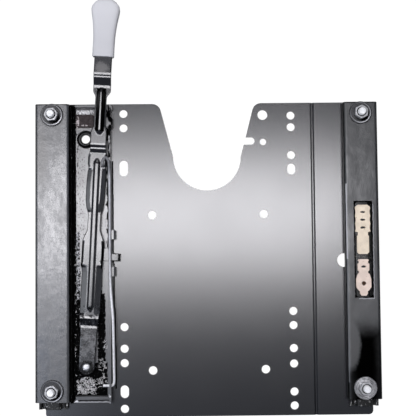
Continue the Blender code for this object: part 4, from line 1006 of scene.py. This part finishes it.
def grease_pieces():
    """Grease on the tray's floor and wall, and black strips of painted shade on its left flange and floor edge,
    by finish.
    """
    pale = grease("grease_pale", (0.85, 0.84, 0.85), 0.4)
    ridge = grease("grease_ridge", (0.52, 0.51, 0.51), 0.4, 0.5)
    pink = grease("grease_pink", (0.5, 0.44, 0.44), 0.38)
    brown = grease("grease_brown", (0.03, 0.02, 0.021), 0.4, 0.5, 0.15)
    black = grease("black_grease_and_shade", (0.001, 0.001, 0.001), 0.35, 0.2, 0.01, (0.34, 0.34, 0.35), 0.64)
    crumbs = grease("grease_crumbs", (0.001, 0.001, 0.001), 0.4, 0.2, 0.02, (0.66, 0.66, 0.68), 0.49)
    floor_z = TRAY_FLOOR
    # Ragged strips: name, finish, middle, half size, height of the ground, seed, then how high, how fine a
    # grid, how far the edge is cut back, how close and how strong the lumps are
    strips = (
        ("grease_well", brown, (-131.6, 141.0), (10.4, 7.2), floor_z, 4, 0.6, 0.6, -0.35, 0.35, 0.9),
        # Painted shade: black strips with light flecks on the tray's left flange and along the left edge of its
        # floor, in the gap by the rail.
        ("painted_shade_gap_left", black, (-145.6, -1.0), (1.35, 156.0), TRAY_FLANGE, 7, 0.6, 0.45, -0.8, 1.4, 0.5),
        ("painted_shade_gap_left", black, (-142.4, -1.0), (1.9, 156.0), floor_z, 17, 1.3, 0.6, -0.8, 1.4, 0.6),
        ("painted_shade_gap_left", black, (-141.9, -70.0), (1.6, 86.0), floor_z, 8, 0.8, 0.6, -0.5, 0.35, 0.9),
        ("grease_floor_right", black, (-113.9, -88.0), (4.6, 44.0), floor_z, 9, 0.6, 0.5, 0.0, 0.45, 1.4),
        ("grease_floor_right", black, (-115.6, -30.0), (3.0, 22.0), floor_z, 15, 0.5, 0.6, 0.5, 0.3, 1.9),
        ("grease_floor_left", black, (-139.2, -92.0), (2.9, 46.0), floor_z, 10, 0.5, 0.6, 0.0, 0.16, 1.5),
        ("grease_floor_rear", black, (-125.0, -135.5), (17.5, 18.0), floor_z, 11, 0.5, 0.6, -0.3, 0.2, 1.2),
        ("grease_crumbs_left", crumbs, (-139.4, 6.0), (2.9, 15.5), floor_z, 12, 0.9, 0.45, -0.3, 0.6, 1.0),
        ("grease_crumbs_low", crumbs, (-138.4, -31.0), (2.9, 21.0), floor_z, 16, 0.7, 0.5, 0.1, 0.5, 1.5),
        ("grease_wall", black, (-106.6, 137.5), (1.3, 18.5), floor_z, 13, 1.2, 0.5, -0.4, 0.5, 0.9))
    # Curls: middle, half size, height over the tray's floor, seed, how many, radius
    curly = (
        ((-131.0, 150.6), (9.5, 2.4), 0.5, 5, 14, 0.3),
        ((-130.2, -142.0), (11.0, 9.2), 0.5, 11, 150, 0.3),
        ((-113.5, -138.0), (6.5, 10.0), 0.4, 12, 26, 0.27),
        ((-109.9, -98.0), (2.8, 5.4), 0.6, 21, 10, 0.28),
        ((-113.0, -120.0), (4.6, 8.0), 0.5, 22, 18, 0.27),
        ((-141.4, -60.0), (1.2, 80.0), 0.7, 23, 46, 0.22))
    made = {}

    def heap(name, mat):
        if name not in made:
            made[name] = (bmesh.new(), mat)
        return made[name][0]

    smear(heap("grease_front", pale), (-132.0, 150.6), (10.4, 2.6), 0.9, floor_z, 1, 0.9, 1.1, 0.15)
    smear(heap("grease_well_pale", pink), (-139.0, 140.0), (3.0, 6.8), 1.1, floor_z, 2, 0.8, 1.3, 0.3)
    smear(heap("grease_well_pale", pink), (-131.0, 136.4), (6.5, 1.6), 0.8, floor_z, 3, 0.9, 1.2, 0.4)
    for name, mat, spot, size, z, seed, height, cell, cut, grain, lump in strips:
        smear(heap(name, mat), spot, size, height, z, seed, grain, lump, cut, cell, True)
    bm = bmesh.new()
    for spot, size, above, seed, count, radius in curly:
        curls(bm, spot, size, floor_z + above, seed, count, radius)
    place_mesh("grease_curls", bm, ridge, "carriage")
    for name, (mesh, mat) in made.items():
        place_mesh(name, mesh, mat, "carriage")


# The model

camera()
lights()
floor()

dress("base_plate", plate_coat(), 0.0004)
inner = inner_rail()
zinc = nut_zinc()
stud_zinc = steel("stud_zinc", (0.95, 0.95, 0.955), 0.5, 0.1)
ringed = steel("washer_zinc", (0.36, 0.36, 0.37), 0.36, rings=(STUD_X, -STUD_Y), scratch=0.3)
washer = washer_coat()
wet_black = grease("wet_black", (0.002, 0.002, 0.002), 0.2, 0.1, 0.25)
spring = steel("spring_wire", (0.5, 0.5, 0.5), 0.35)
nylon_of = {"front": nylon(True), "rear": nylon(False)}
for hand in ("left", "right"):
    dress("upper_rail_" + hand, rail_coat(hand), 0.0005)
    dress("lower_rail_" + hand, inner, 0.0003)
    for end in ("front", "rear"):
        dress(f"glide_{hand}_{end}", nylon_of[end], 0.0003)
    dress("isolator_spring_" + hand, spring)
dress("lever_tray", tray_coat(), 0.0005, 3)
dress("lever_grip", grip_plastic(), 0.0003)
dress("pivot_screw", steel("screw", (0.5, 0.5, 0.51), 0.4), 0.0002)
dress("pivot_washer", wet_black, 0.0002)
lever()
wire()
eyelet(wet_black)
for corner_name in STUD_AT:
    threaded_stud(corner_name, stud_zinc)
    dress("nut_" + corner_name, zinc, 0.0003)
    dress("washer_" + corner_name, ringed if corner_name == "rear_right" else washer, 0.0004)
grease_pieces()
